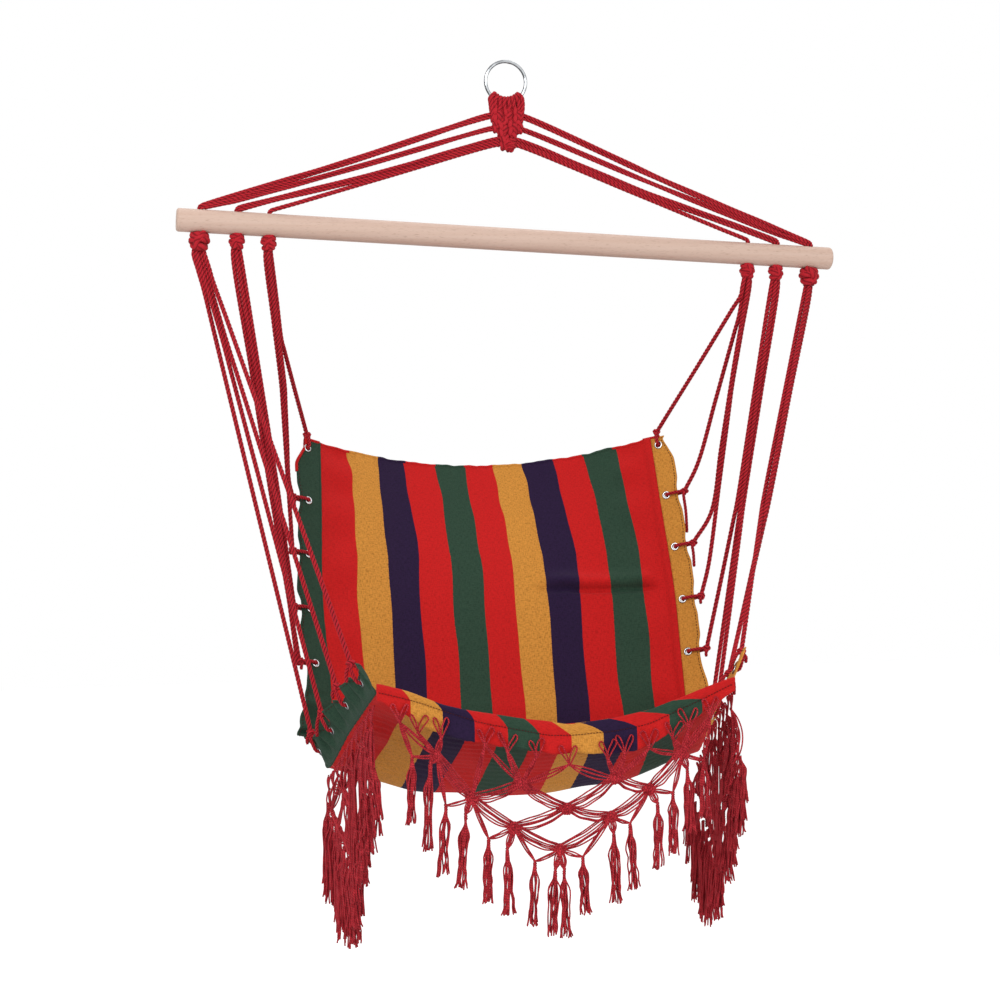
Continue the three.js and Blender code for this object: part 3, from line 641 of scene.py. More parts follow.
@dataclass(frozen=True)
class BarLines:
    """Where the spreader bar lies, and the holes in it, outermost first."""

    length: float = 1000.0
    diameter: float = 34.0
    drop: float = 263.6
    shift: float = 10.0
    tilt: float = radians(2.63)
    hole_diameter: float = 12.0
    holes_from_end: tuple[float, ...] = (34.0, 88.0, 134.0)

    @property
    def centre(self) -> Points:
        """Middle of the bar."""
        return np.array([self.shift, 0.0, -self.drop])

    @property
    def along(self) -> Points:
        """Direction of the bar towards its right end."""
        return np.array([cos(self.tilt), 0.0, -sin(self.tilt)])

    @property
    def up(self) -> Points:
        """Direction of the holes."""
        return np.array([sin(self.tilt), 0.0, cos(self.tilt)])

    def place(self, along: float, up: float, y: float = 0.0) -> Points:
        """Place on the bar from distances along it, above its middle and behind it."""
        return self.centre + along * self.along + up * self.up + y * BACKWARDS

    def hole(self, side: Side, index: int) -> float:
        """Distance of a hole along the bar from its middle."""
        return side.value * (self.length / 2 - self.holes_from_end[index])


# Width and height of the knots under the bar, outermost first, and how high their middles lie from the bar's.
KNOT_SIZES = ((30.0, 27.0), (23.0, 23.0), (23.0, 23.0))
KNOT_RISE = (-29.37, -26.81, -26.81)


@dataclass(frozen=True)
class SlingLines:
    """Curves that the sling's cloth hangs in, before it is hung to the left by its shift."""

    half_width: float = 280.0
    top_drop: float = 559.0
    height: float = 476.0
    back_reach: float = 179.0
    depth: float = 475.0
    shift: float = -4.6
    stations: tuple[tuple[float, float, float, float, float], ...] = (
        (0.932, 0.0, 0.0, -0.116, 0.08),
        (0.945, 0.074, 0.2, -0.036, 0.25),
        (0.968, 0.179, 0.496, 0.095, 0.504),
        (0.957, 0.316, 0.822, 0.242, 0.836),
        (1.0, 0.396, 1.0, 0.415, 1.105),
        (0.942, 0.695, 0.861, 0.684, 1.0),
        (0.885, 1.0, 0.723, 0.937, 0.842),
    )
    seat_share: float = 4 / 6

    def _station(self, width: float, deep: float, low: float) -> Points:
        """Place of a station from its shares."""
        return np.array([width * self.half_width, self.back_reach - self.depth * deep,
                         -self.top_drop - self.height * low])

    def edge(self, s: Points) -> Points:
        """Right edge of the cloth, from 0 at the top to 1 at the front."""
        return spline([self._station(w, a, b) for w, a, b, _, _ in self.stations], np.atleast_1d(s))

    def middle(self, s: Points) -> Points:
        """Line down the middle of the cloth."""
        return spline([self._station(0, a, b) for _, _, _, a, b in self.stations], np.atleast_1d(s))

    def cloth(self, s: Points, t: Points) -> Points:
        """Points of the cloth.

        Args:
            s: Shares down it, one for each row.
            t: Shares across it, -1 to 1, one for each column.

        Returns:
            Rows by columns by three.
        """
        edge, middle = self.edge(s)[:, None], self.middle(s)[:, None]
        t = np.atleast_1d(t)[None, :]
        x = edge[..., 0] * t
        y = middle[..., 1] + (edge[..., 1] - middle[..., 1]) * t**2
        z = middle[..., 2] + (edge[..., 2] - middle[..., 2]) * t**2
        return np.stack([x, y, z], axis=-1)

    def down_edge(self) -> tuple[Points, Points]:
        """Shares down the edge and the distance from its top at each."""
        shares = np.linspace(0, 1, 1201)
        return shares, lengths_along(self.edge(shares))

    def share_at(self, distance: Points) -> Points:
        """Share down the edge at a distance from its top."""
        shares, along = self.down_edge()
        return np.interp(distance, along, shares)

    @property
    def edge_length(self) -> float:
        """Length of the side edge."""
        return float(self.down_edge()[1][-1])


def mirrored(points: Points, side: Side) -> Points:
    """Mirrors places from the right side to a side."""
    return points * np.array([side.value, 1.0, 1.0])


@dataclass(frozen=True)
class FlangeLines:
    """Where the flanges stand out from the sling's sides, and the frame of each eyelet."""

    sling: SlingLines = SlingLines()
    width: float = 45.0
    seam: float = 1.5
    seat_seam: float = 2.9
    back_lean: tuple[float, float, float] = (0.83, -0.5, 0.14)
    seat_lean: tuple[float, float, float] = (0.42, 0.2, 0.88)
    turn_from: float = 370.0
    turn_to: float = 505.0
    half_flat: float = 8.0

    def tangent(self, s: float) -> Points:
        """Direction of the edge."""
        ends = self.sling.edge(np.array([max(0.0, s - 1e-3), min(1.0, s + 1e-3)]))
        return unit(ends[1] - ends[0])

    def turned(self, s: float) -> float:
        """How far the flange has turned over: 0 on the back, 1 on the seat."""
        start, end = self.sling.share_at(np.array([self.turn_from, self.turn_to]))
        return ease((s - start) / (end - start))

    def seam_at(self, s: float) -> float:
        """Gap between the cloth's edge and the flange."""
        return self.seam + (self.seat_seam - self.seam) * self.turned(s)

    def out(self, s: float) -> Points:
        """Direction of the flange away from the cloth."""
        mix = self.turned(s)
        lean = np.array(self.back_lean) * (1 - mix) + np.array(self.seat_lean) * mix
        tangent = self.tangent(s)
        return unit(lean - lean.dot(tangent) * tangent)

    def eyelets(self) -> list[tuple[str, float]]:
        """Name of each eyelet and its distance down the edge, from the top."""
        places = [(f"back_{i + 1}", 15.0 + 86.0 * i) for i in range(5)]
        places += [(f"seat_{i + 1}", self.sling.edge_length - 28.0 - 92.0 * i) for i in range(4)]
        return sorted(places, key=lambda place: place[1])

    def frame(self, word: str, side: Side) -> tuple[Points, Points, Points, Points]:
        """Frame of an eyelet.

        Args:
            word: Name of the eyelet.
            side: Side of the chair.

        Returns:
            Its place, and the directions out of the flange's edge, up the edge and through the eyelet.
        """
        distance = dict(self.eyelets())[word]
        ends = self.sling.share_at(np.array([distance - self.half_flat, distance + self.half_flat]))
        outs = [self.out(s) for s in ends]
        edge = self.sling.edge(ends)
        upper, lower = (edge[i] + outs[i] * (self.seam_at(ends[i]) + self.width / 2) for i in (0, 1))
        down = unit(lower - upper)
        out = outs[0] + outs[1]
        out = unit(out - out.dot(down) * down)
        normal = np.cross(out, down)
        return tuple(mirrored(v, side) for v in ((upper + lower) / 2, out, -down, normal))

    def rows(self, side: Side) -> tuple[Points, Points, Points, Points, Points]:
        """Rows of the flange from the top down.

        Args:
            side: Side of the chair.

        Returns:
            Distance down the edge, start, direction out and face of each row, and how near an eyelet it is.
        """
        rows = []
        places = self.eyelets()
        gaps = [(a[1], b[1] - a[1]) for a, b in zip(places, places[1:])]
        between = [start + gap * share for start, gap in gaps for share in (0.34, 0.5, 0.66)]
        for distance in [0.0, *between, self.sling.edge_length]:
            s = float(self.sling.share_at(np.array(distance)))
            out = self.out(s)
            rows.append((distance, self.sling.edge(np.array([s]))[0] + out * self.seam_at(s), out,
                         unit(np.cross(out, self.tangent(s))), 0.0))
        for word, distance in places:
            place, out, up, normal = self.frame(word, Side.RIGHT)
            for way in (-1, 1):
                start = place - out * self.width / 2 - up * way * self.half_flat
                rows.append((distance + way * self.half_flat, start, out, normal, 1.0))
        rows.sort(key=lambda row: row[0])
        distances, starts, outs, normals, near = (np.array([row[k] for row in rows]) for k in range(5))
        return distances, mirrored(starts, side), mirrored(outs, side), mirrored(normals, side), near


# Ring, hanger, ropes and bar.


@dataclass
class HangingRing:
    """Welded steel ring that goes over the hook."""

    mean_radius: float = 30.5
    wire_radius: float = 2.5
    centre_z: float = -28.0
    weld_rise: float = 0.35

    def build(self, finishes: Finishes) -> None:
        """Makes the ring with its weld at the back of the top."""
        bpy.ops.mesh.primitive_torus_add(
            align="WORLD", location=(0, 0, self.centre_z * MM), rotation=(pi / 2, 0, 0),
            major_segments=120, minor_segments=24, major_radius=self.mean_radius * MM,
            minor_radius=self.wire_radius * MM,
        )
        ring = bpy.context.object
        settle(ring)
        weld = np.array([sin(radians(11)), 0.0, cos(radians(11))]) * self.mean_radius + UP * self.centre_z
        for vertex in ring.data.vertices:
            spot = np.array(vertex.co) / MM
            turn = np.linalg.norm(spot - weld)
            swell = self.weld_rise * max(0.0, 1 - (turn / 4.2) ** 2)
            wire = np.array([spot[0], 0.0, spot[2] - self.centre_z])
            wire = unit(wire) * self.mean_radius + UP * self.centre_z
            vertex.co = (spot + unit(spot - wire) * swell) * MM
        ring.data.shade_smooth()
        add_piece(ring, "hanging_ring_wire", Body.RING, finishes.dark_reflecting_chrome, ["hanging_ring"])


@dataclass
class HangerKnotwork:
    """Macrame tab: eight cords looped over the ring, then rows of three, two and one square knots."""

    ring: HangingRing
    cord_radius: float = 3.5
    loop_pitch: float = radians(12.6)
    waist_x: tuple[float, ...] = (-22.2, -17.0, -9.6, -3.4, 4.9, 11.1, 18.8, 24.6)
    feet: tuple[tuple[float, float], ...] = (
        (-20.0, -88.0), (-15.5, -74.0), (-12.4, -74.0), (-0.6, -73.0),
        (3.0, -73.0), (15.0, -74.0), (18.4, -74.0), (22.4, -88.0),
    )
    knots: tuple[tuple[float, float, float, float], ...] = (
        (-14.0, -79.0, 8.1, 29.0),
        (1.3, -78.0, 8.0, 29.0),
        (16.4, -79.0, 8.1, 29.0),
        (-15.2, -93.5, 6.2, 21.0),
        (19.0, -94.0, 6.6, 22.0),
        (-6.2, -98.5, 8.8, 27.0),
        (8.8, -98.0, 8.8, 27.0),
        (-3.0, -118.0, 8.0, 23.0),
    )
    core_x: tuple[float, ...] = (-7.0, 8.6)
    core_radius: float = 4.4
    knot_turn: float = 0.8 * pi
    knot_pitch: float = 30.0
    ply_pitch: float = 22.0

    def build(self, finishes: Finishes) -> None:
        """Makes the loops, the cords that they are knotted round, the knots and the wrap that ends them."""
        shape = Shape()
        for k in range(len(self.feet)):
            self._loop(shape, k)
        for x in self.core_x:
            core = [np.array([x * narrow, 0.0, z]) for narrow, z in ((1.0, -63.0), (0.9, -82.0), (0.5, -104.0))]
            shape.cord(evenly(core, 2), self.core_radius, self.ply_pitch, 0.1)
        for i, (x, z, radius, height) in enumerate(self.knots):
            self._knot(shape, x, z, radius, height, 1 if i % 2 else -1)
        self._wrap(shape)
        add_piece(shape, "hanger_macrame", Body.HANGER, finishes.knotted, ["hanger_knotwork"])

    def _loop(self, shape: Shape, k: int) -> None:
        """One cord over the ring: up the front, round the wire and down the back."""
        angle = (k - 3.5) * self.loop_pitch
        outwards = np.array([sin(angle), 0.0, -cos(angle)])
        wire = UP * self.ring.centre_z + outwards * self.ring.mean_radius
        reach = self.ring.wire_radius + self.cord_radius - 0.2
        foot_x, foot_z = self.feet[k]
        points = []
        for way in (-1, 1):
            front = [
                np.array([foot_x, way * 2.4, foot_z]),
                np.array([self.waist_x[k], way * 5.0, min(-61.5, wire[2] - 7.0)]),
                wire + outwards * 2.0 + BACKWARDS * way * reach,
                wire + (BACKWARDS * way - outwards) * reach * 0.72,
            ]
            points += front + [wire - outwards * reach] if way < 0 else front[::-1]
        route = evenly(points, 1.6)
        shape.cord(route, self.cord_radius, self.ply_pitch, 0.16)

    def _knot(self, shape: Shape, x: float, z: float, radius: float, height: float, way: int) -> None:
        """Adds one square knot: three strands plaited to an oval.

        Args:
            shape: Shape that it is added to.
            x: Its middle across.
            z: Its middle up.
            radius: Its radius at the middle.
            height: Its height.
            way: Which way its cords turn, 1 or -1.
        """
        down = np.linspace(-1, 1, 34)
        swell = np.sqrt(np.clip(1 - (np.abs(down) * 0.96) ** 3, 0, 1))
        for strand in range(3):
            turn = way * self.knot_turn * down + tau * strand / 3
            across = radius * 0.5 * np.sin(turn) * (0.3 + 0.7 * swell)
            route = np.column_stack([x + across, radius * 0.42 * np.sin(2 * turn) * swell, z - down * height / 2])
            shape.cord(route, radius * 0.6 * (0.35 + 0.65 * swell), way * self.knot_pitch, 0.1)

    def _wrap(self, shape: Shape) -> None:
        """Last knot: cords wound round the rest, with a short stub below."""
        turns = np.linspace(0, tau * 2.2, 70)
        for lift, wide in ((0.0, 7.6), (-5.4, 6.8)):
            route = np.column_stack([
                5.6 + wide * np.cos(turns + lift),
                5.8 * np.sin(turns + lift),
                -112.5 + lift - turns * 0.8 + 2.6 * np.cos(turns + lift),
            ])
            shape.cord(route, 2.7, self.ply_pitch)
        for x, low in ((1.6, -130.0), (6.2, -133.4)):
            stub = ((x, -1.0, -112.0), (x + 0.5, -1.4, -121.0), (x + 0.4, -0.8, low))
            route = evenly(stub, 1.6)
            radii = np.full(len(route), 4.6)
            radii[-2:] = (3.8, 2.0)
            shape.cord(route, radii, self.ply_pitch)


@dataclass
class UpperRopes:
    """Ropes of two cords each that fan from the hanger to the bar, and bend into its holes."""

    bar: BarLines
    root_x: tuple[float, ...] = (20.0, 15.5, 10.5, 10.5)
    root_z: tuple[float, ...] = (-79.3, -97.8, -115.4, -122.4)
    cord_radii: tuple[float, ...] = (2.9, 2.5, 3.0, 3.6)
    cords: tuple[int, ...] = (2, 2, 2, 1)
    sags: tuple[float, ...] = (2.0, 1.0, 3.4, -0.4)
    bend: float = radians(70)
    bend_radius: float = 4.0
    mouth_rise: float = 0.8
    join_share: float = 0.84
    ply_pitch: float = 21.0

    def build(self, finishes: Finishes) -> None:
        """Makes the three ropes of each side."""
        for side in Side:
            outer = Shape()
            main = self._route(side, 0, 0)
            self._rope(outer, main, 0, side)
            along = lengths_along(main)
            joint = int(np.searchsorted(along, self.join_share * along[-1]))
            start = np.array([side.value * self.root_x[1], 0.0, self.root_z[1]])
            lead = start + ACROSS * side.value * 5
            under = -UP * (self.cord_radii[0] + self.cord_radii[1] + 1.2)
            joins = ((joint, 1.0), (len(main) - 26, 0.72), (len(main) - 14, 0.3))
            tail = [main[i] + under * share for i, share in joins]
            self._rope(outer, evenly([start, lead, (lead + tail[0]) / 2 - UP, *tail], 2.4), 1, side)
            self._finish(outer, side, "outer", finishes)
            for index, word in ((2, "middle"), (3, "inner")):
                shape = Shape()
                self._rope(shape, self._route(side, index - 1, index), index, side)
                self._finish(shape, side, word, finishes)

    def _route(self, side: Side, hole: int, index: int) -> Points:
        """Middle of a rope.

        Args:
            side: Side of the chair.
            hole: Hole of the bar that it goes into.
            index: Root that it starts from.

        Returns:
            Points at even distances.
        """
        way = side.value
        start = np.array([way * self.root_x[index], 0.0, self.root_z[index]])
        along = self.bar.hole(side, hole)
        bend, mouth = self.bend_radius, self.bar.diameter / 2 + self.mouth_rise
        knuckle = []
        for share in (1.0, 0.66, 0.33, 0.0):
            turn = share * self.bend
            knuckle.append(self.bar.place(along - way * bend * (1 - cos(turn)), mouth + bend * sin(turn)))
        lead = start + ACROSS * way * 5
        middle = (lead + knuckle[0]) / 2 - UP * self.sags[index]
        near = lead + (knuckle[0] - lead) * 0.88
        inside = self.bar.place(along, self.bar.diameter / 2 - 6), self.bar.place(along, -6)
        return evenly([start, lead, middle, near, *knuckle, *inside], 2.4)

    def _rope(self, shape: Shape, route: Points, index: int, side: Side) -> None:
        """Adds the cords of one rope, laid side by side with a slow turn."""
        radius = self.cord_radii[index]
        if self.cords[index] == 1:
            shape.cord(route, radius, self.ply_pitch, 0.22)
            return
        normals, sides = section_frames(route, False)
        along = lengths_along(route)
        upright = np.arctan2(sides[0][2], normals[0][2])
        turn = upright + 0.5 * np.sin(along / 61 + index) + 0.3 * np.sin(along / 23 + side.value)
        offset = normals * np.cos(turn)[:, None] + sides * np.sin(turn)[:, None]
        for way in (-1, 1):
            shape.cord(route + offset * radius * 0.84 * way, radius, self.ply_pitch)

    def _finish(self, shape: Shape, side: Side, word: str, finishes: Finishes) -> None:
        """Makes one rope's piece, with its place baked into its mesh."""
        node = f"{side.word}_{word}_rope"
        piece = add_piece(shape, f"{node}_cords", None, finishes.cord, [node])
        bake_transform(piece)


@dataclass
class SpreaderBar:
    """Beech bar with rounded ends and six drilled holes."""

    lines: BarLines
    end_round: float = 4.0
    hole_round: float = 0.8

    def build(self, finishes: Finishes) -> None:
        """Makes the bar."""
        lines = self.lines
        turned = (0, pi / 2 + lines.tilt, 0)
        bpy.ops.mesh.primitive_cylinder_add(
            vertices=72, radius=lines.diameter / 2 * MM, depth=lines.length * MM, end_fill_type="NGON",
            align="WORLD", location=tuple(lines.centre * MM), rotation=turned,
        )
        bar = bpy.context.object
        settle(bar)
        self._round_ends(bar)
        cutters = self._cutters()
        drill = bar.modifiers.new("drill", "BOOLEAN")
        drill.operation = "DIFFERENCE"
        drill.solver = "EXACT"
        drill.object = cutters
        pick(bar)
        bpy.ops.object.modifier_apply(modifier=drill.name)
        bpy.data.objects.remove(cutters)
        self._soften_holes(bar)
        bpy.ops.object.shade_smooth_by_angle(angle=radians(35))
        add_piece(bar, "beech_spreader_bar", Body.SPREADER, finishes.beech, ["spreader_bar"])

    def _round_ends(self, bar: bpy.types.Object) -> None:
        """Bevels the edge of each end."""
        bpy.ops.object.mode_set(mode="EDIT")
        bpy.ops.mesh.select_mode(type="FACE")
        bpy.ops.mesh.select_all(action="DESELECT")
        work = bmesh.from_edit_mesh(bar.data)
        along = Vector(self.lines.along)
        for face in work.faces:
            face.select_set(abs(face.normal.dot(along)) > 0.9)
        bmesh.update_edit_mesh(bar.data)
        bpy.ops.mesh.region_to_loop()
        bpy.ops.mesh.bevel(offset=self.end_round * MM, segments=6, affect="EDGES")
        bpy.ops.object.mode_set(mode="OBJECT")

    def _cutters(self) -> bpy.types.Object:
        """One object that holds the six drills."""
        made = []
        for side in Side:
            for index in range(3):
                place = self.lines.place(self.lines.hole(side, index), 0)
                bpy.ops.mesh.primitive_cylinder_add(
                    vertices=32, radius=self.lines.hole_diameter / 2 * MM, depth=60 * MM,
                    align="WORLD", location=tuple(place * MM), rotation=(0, self.lines.tilt, 0),
                )
                made.append(bpy.context.object)
        for drill in made:
            drill.select_set(True)
        bpy.context.view_layer.objects.active = made[0]
        bpy.ops.object.join()
        settle(made[0])
        return made[0]

    def _soften_holes(self, bar: bpy.types.Object) -> None:
        """Breaks the edge of each hole's mouths."""
        bpy.ops.object.mode_set(mode="EDIT")
        bpy.ops.mesh.select_mode(type="EDGE")
        bpy.ops.mesh.select_all(action="DESELECT")
        work = bmesh.from_edit_mesh(bar.data)
        reach = (self.lines.hole_diameter / 2 + 0.6) * MM
        holes = [self.lines.hole(side, index) for side in Side for index in range(3)]
        middles = [Vector(self.lines.place(hole, 0) * MM) for hole in holes]
        up = Vector(self.lines.up)
        for edge in work.edges:
            if len(edge.link_faces) == 2 and edge.calc_face_angle(0) > radians(35):
                spot = (edge.verts[0].co + edge.verts[1].co) / 2
                away = min((spot - m - up * (spot - m).dot(up)).length for m in middles)
                edge.select_set(away < reach)
        bmesh.update_edit_mesh(bar.data)
        bpy.ops.mesh.bevel(offset=self.hole_round * MM, segments=2, affect="EDGES", clamp_overlap=True)
        bpy.ops.object.mode_set(mode="OBJECT")


def overhand(
    centre: Points, size: tuple[float, float, float], radius: float, turn: float, step: float,
) -> Points:
    """Middle line of an overhand knot pulled tight.

    Args:
        centre: Its middle.
        size: Outer width, depth and height.
        radius: Radius of the cord.
        turn: How far it is turned about the vertical.
        step: Distance between points.

    Returns:
        Points of the closed line.
    """
    t = np.linspace(0, tau, 200, endpoint=False)
    x, y, z = np.sin(t) + 2 * np.sin(2 * t), -np.sin(3 * t) * 1.5, np.cos(t) - 2 * np.cos(2 * t)
    # The formula's loop is 3 wide and high from its middle, and 1.5 deep.
    x, y, z = (line * (extent / 2 - radius) / span for line, extent, span in zip((x, y, z), size, (3, 1.5, 3)))
    turned = np.column_stack([x * cos(turn) - y * sin(turn), x * sin(turn) + y * cos(turn), z])
    closed = np.vstack([turned, turned[:1]])
    along = lengths_along(closed)
    marks = np.linspace(0, along[-1], max(24, int(along[-1] / step)), endpoint=False)
    return centre + at_marks(marks, along, closed)


@dataclass
class StopperKnots:
    """Knots that hold the cords under the bar: three turns of all their cords round the rest."""

    bar: BarLines
    turns: tuple[float, ...] = (0.4, 2.3, 4.1)
    wraps: tuple[tuple[float, float, float], ...] = ((0.3, 0.12, 0.98), (0.03, -0.15, 1.08), (-0.26, 0.2, 0.9))
    ply_pitch: float = 34.0

    def build(self, finishes: Finishes) -> None:
        """Makes the six knots."""
        for side in Side:
            for index, word in enumerate(("outer", "middle", "inner")):
                shape = self._knot(side, index)
                node = f"{side.word}_{word}_knot"
                add_piece(shape, f"{node}_wrapped", Body.SPREADER, finishes.knotted, [node])

    def _knot(self, side: Side, index: int) -> Shape:
        """Models one knot.

        Args:
            side: Side of the chair.
            index: Hole that it hangs under.

        Returns:
            Its core, its three turns, and the cord that crosses over them.
        """
        width, height = KNOT_SIZES[index]
        centre = self.bar.place(self.bar.hole(side, index), KNOT_RISE[index])
        radius = height * 0.2
        turn = self.turns[index] * side.value
        shape = Shape()
        core = evenly([centre + self.bar.up * height * rise for rise in (0.5, 0.0, -0.52)], 2.5)
        shape.cord(core, width * 0.3, 40.0, 0.1, plies=5)
        angles = np.linspace(0, tau, 44, endpoint=False)
        for lift, tilt, wide in self.wraps:
            reach = width * wide / 2 - radius
            rise = lift * height + tilt * reach * np.sin(angles + turn) + 0.5 * np.sin(3 * angles + lift)
            route = centre + self.bar.along * (reach * np.cos(angles))[:, None] + self.bar.up * rise[:, None]
            route = route + BACKWARDS * (reach * 0.94 * np.sin(angles))[:, None]
            shape.cord(route, radius, self.ply_pitch, 0.12, closed=True)
        reach = width * 0.5 - radius * 0.7
        places = ((-0.55, -0.5, 0.46), (-0.1, -1.0, 0.2), (0.42, -0.94, -0.06), (0.3, -0.6, -0.42))
        outwards = self.bar.along * side.value
        over = [centre + (outwards * a + BACKWARDS * b) * reach + self.bar.up * height * c for a, b, c in places]
        shape.cord(evenly(over, 1.6), radius * 0.9, self.ply_pitch, 0.12)
        return shape


# Cords and eyelets.

@dataclass(frozen=True)
class Hang:
    """How one cord hangs: where it leaves its bundle, its tail, its slack and its strands."""

    leaves_at: float
    tail: float = 9.0
    slack: float = 0.0
    strands: int = 1


# The cords under each knot, outermost knot first, and how far apart they lie there.
BUNDLES = {
    Side.LEFT: (
        (5.5, {"seat_4": Hang(0.08), "seat_3": Hang(0.2, 26.0), "seat_2": Hang(0.2), "seat_1": Hang(0.06, 18.0)}),
        (5.6, {"back_5": Hang(0.62, strands=2), "back_4": Hang(0.62, 24.0)}),
        (4.3, {"back_3": Hang(0.55), "back_2": Hang(0.55, 16.0, 4.0), "back_1": Hang(0.35, 58.0)}),
    ),
    Side.RIGHT: (
        (4.4, {"seat_2": Hang(0.6, 24.0, strands=2), "seat_1": Hang(0.6)}),
        (5.4, {"seat_3": Hang(0.55), "seat_4": Hang(0.55), "back_5": Hang(0.55)}),
        (4.2, {"back_4": Hang(0.36, slack=5.0), "back_3": Hang(0.3, 34.0, 20.0), "back_2": Hang(0.12, 62.0, 9.0),
               "back_1": Hang(0.05, 22.0)}),
    ),
}


@dataclass
class SuspensionCords:
    """Cords from the knots under the bar to the eyelets, each tied round its flange's edge."""

    bar: BarLines
    flange: FlangeLines
    radius: float = 3.6
    groove: float = 0.24
    loop_radius: float = 2.7
    tie_cord_radius: float = 2.95
    tie_radius: float = 6.5
    ply_pitch: float = 20.0
    end_ply_pitch: float = 15.0
    stays_past: float = 0.25

    def build(self, finishes: Finishes) -> None:
        """Makes the eighteen cords."""
        for side, knots in BUNDLES.items():
            for knot, (pitch, hangs) in enumerate(knots):
                stay = [word for word, hang in hangs.items() if hang.leaves_at > self.stays_past] or list(hangs)
                gather = sum(self._tie(side, word)[0] for word in stay) / len(stay)
                strands = [word for word, hang in hangs.items() for _ in range(hang.strands)]
                for word, hang in hangs.items():
                    lanes = [self._lane(pitch, len(strands), index)
                             for index, strand in enumerate(strands) if strand == word]
                    self._cord(side, knot, word, hang, lanes, gather, finishes)

    def _lane(self, pitch: float, count: int, index: int) -> tuple[float, float]:
        """Place of a strand in its bundle: outwards along the bar, and backwards."""
        return ((count - 1) / 2 - index) * pitch, (2.4 if pitch < 5 else 1.3) * (-1) ** index

    def _tie(self, side: Side, word: str) -> tuple[Points, Points, Points, Points, float]:
        """Where a cord is tied.

        Args:
            side: Side of the chair.
            word: Name of its eyelet.

        Returns:
            Places of the tie and the eyelet, directions to the tie and through the eyelet, and the distance.
        """
        place, out, up, normal = self.flange.frame(word, side)
        place = place + ACROSS * self.flange.sling.shift
        direction = up if word == "back_1" else out
        reach = (15.0 if word == "back_1" else 22.5) + self.tie_radius + 0.6
        return place + direction * reach, place, direction, normal, reach

    def _cord(
        self, side: Side, knot: int, word: str, hang: Hang, lanes: list[Spot], gather: Points, finishes: Finishes,
    ) -> None:
        """Makes one cord with its loop, knot and tail.

        Args:
            side: Side of the chair.
            knot: Knot that it hangs from, outermost first.
            word: Name of its eyelet.
            hang: How it hangs.
            lanes: Place of each of its strands in the bundle under the knot.
            gather: Place that the whole bundle makes for, until the cord leaves it.
            finishes: The chair's finishes.
        """
        tie, place, direction, normal, reach = self._tie(side, word)
        along = self.bar.hole(side, knot)
        height = KNOT_SIZES[knot][1]
        top = self.bar.place(along, KNOT_RISE[knot] - height * 0.3)
        start = self.bar.place(along, KNOT_RISE[knot] - height * 0.62)
        run = (gather - start) * hang.leaves_at
        shape = Shape()
        for strand, lane in enumerate(lanes):
            offset = self.bar.along * side.value * lane[0] + BACKWARDS * lane[1]
            end = tie + direction * 4.0 * strand
            leaves = start + run + offset
            bend = end + (leaves - end) * 0.14 + (ACROSS * side.value + UP * 0.4) * hang.slack
            free = bend - leaves
            line = evenly([top + offset * 0.6, start + offset * 0.92, start + run * 0.5 + offset, leaves,
                           leaves + free * 0.12, leaves + free * 0.55 - UP * 0.8, bend, end], 2.2)
            shape.cord(line, self.radius, self.ply_pitch, self.groove)
        self._loop(shape, place, direction, normal, reach)
        size = 2 * self.tie_radius * 1.06
        turn = side.value * (0.4 + 0.11 * lanes[0][0])
        knotted = overhand(tie, (size, size * 0.94, size), self.tie_cord_radius, turn, 1.3)
        shape.cord(knotted, self.tie_cord_radius, self.ply_pitch, self.groove, closed=True)
        self._tail(shape, tie, normal, side, hang.tail)
        node = f"{side.word}_cord_{word}"
        piece = add_piece(shape, f"{node}_laid", None, finishes.cord, [node])
        axis = self.bar.place(along, KNOT_RISE[knot])
        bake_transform(piece)

    def _loop(self, shape: Shape, place: Points, direction: Points, normal: Points, reach: float) -> None:
        """Loop through the eyelet and round the flange's edge."""
        half = 5.5
        shares = ((0.0, 0.0), (0.02, 0.5), (0.12, 0.98), (0.5, 1.0), (0.85, 0.7), (1.0, 0.0), (0.85, -0.7),
                  (0.5, -1.0), (0.12, -0.98), (0.02, -0.5), (0.0, 0.0))
        points = [place + direction * along * reach + normal * across * half for along, across in shares]
        shape.cord(evenly(points, 1.5)[:-1], self.loop_radius, self.end_ply_pitch, closed=True)

    def _tail(self, shape: Shape, tie: Points, normal: Points, side: Side, length: float) -> None:
        """Short end of the cord, hanging from its knot."""
        away = normal * (1.0 if normal[1] < 0 else -1.0)
        aside = ACROSS * side.value * length
        route = evenly([tie, tie + away * 5 - UP * 4, tie + away * 6 + aside * 0.06 - UP * 0.55 * length,
                        tie + away * 5.5 + aside * 0.08 - UP * (length + 5)], 2.0)
        radii = np.full(len(route), self.loop_radius)
        radii[-1] = 1.9
        shape.cord(route, radii, self.end_ply_pitch, self.groove)


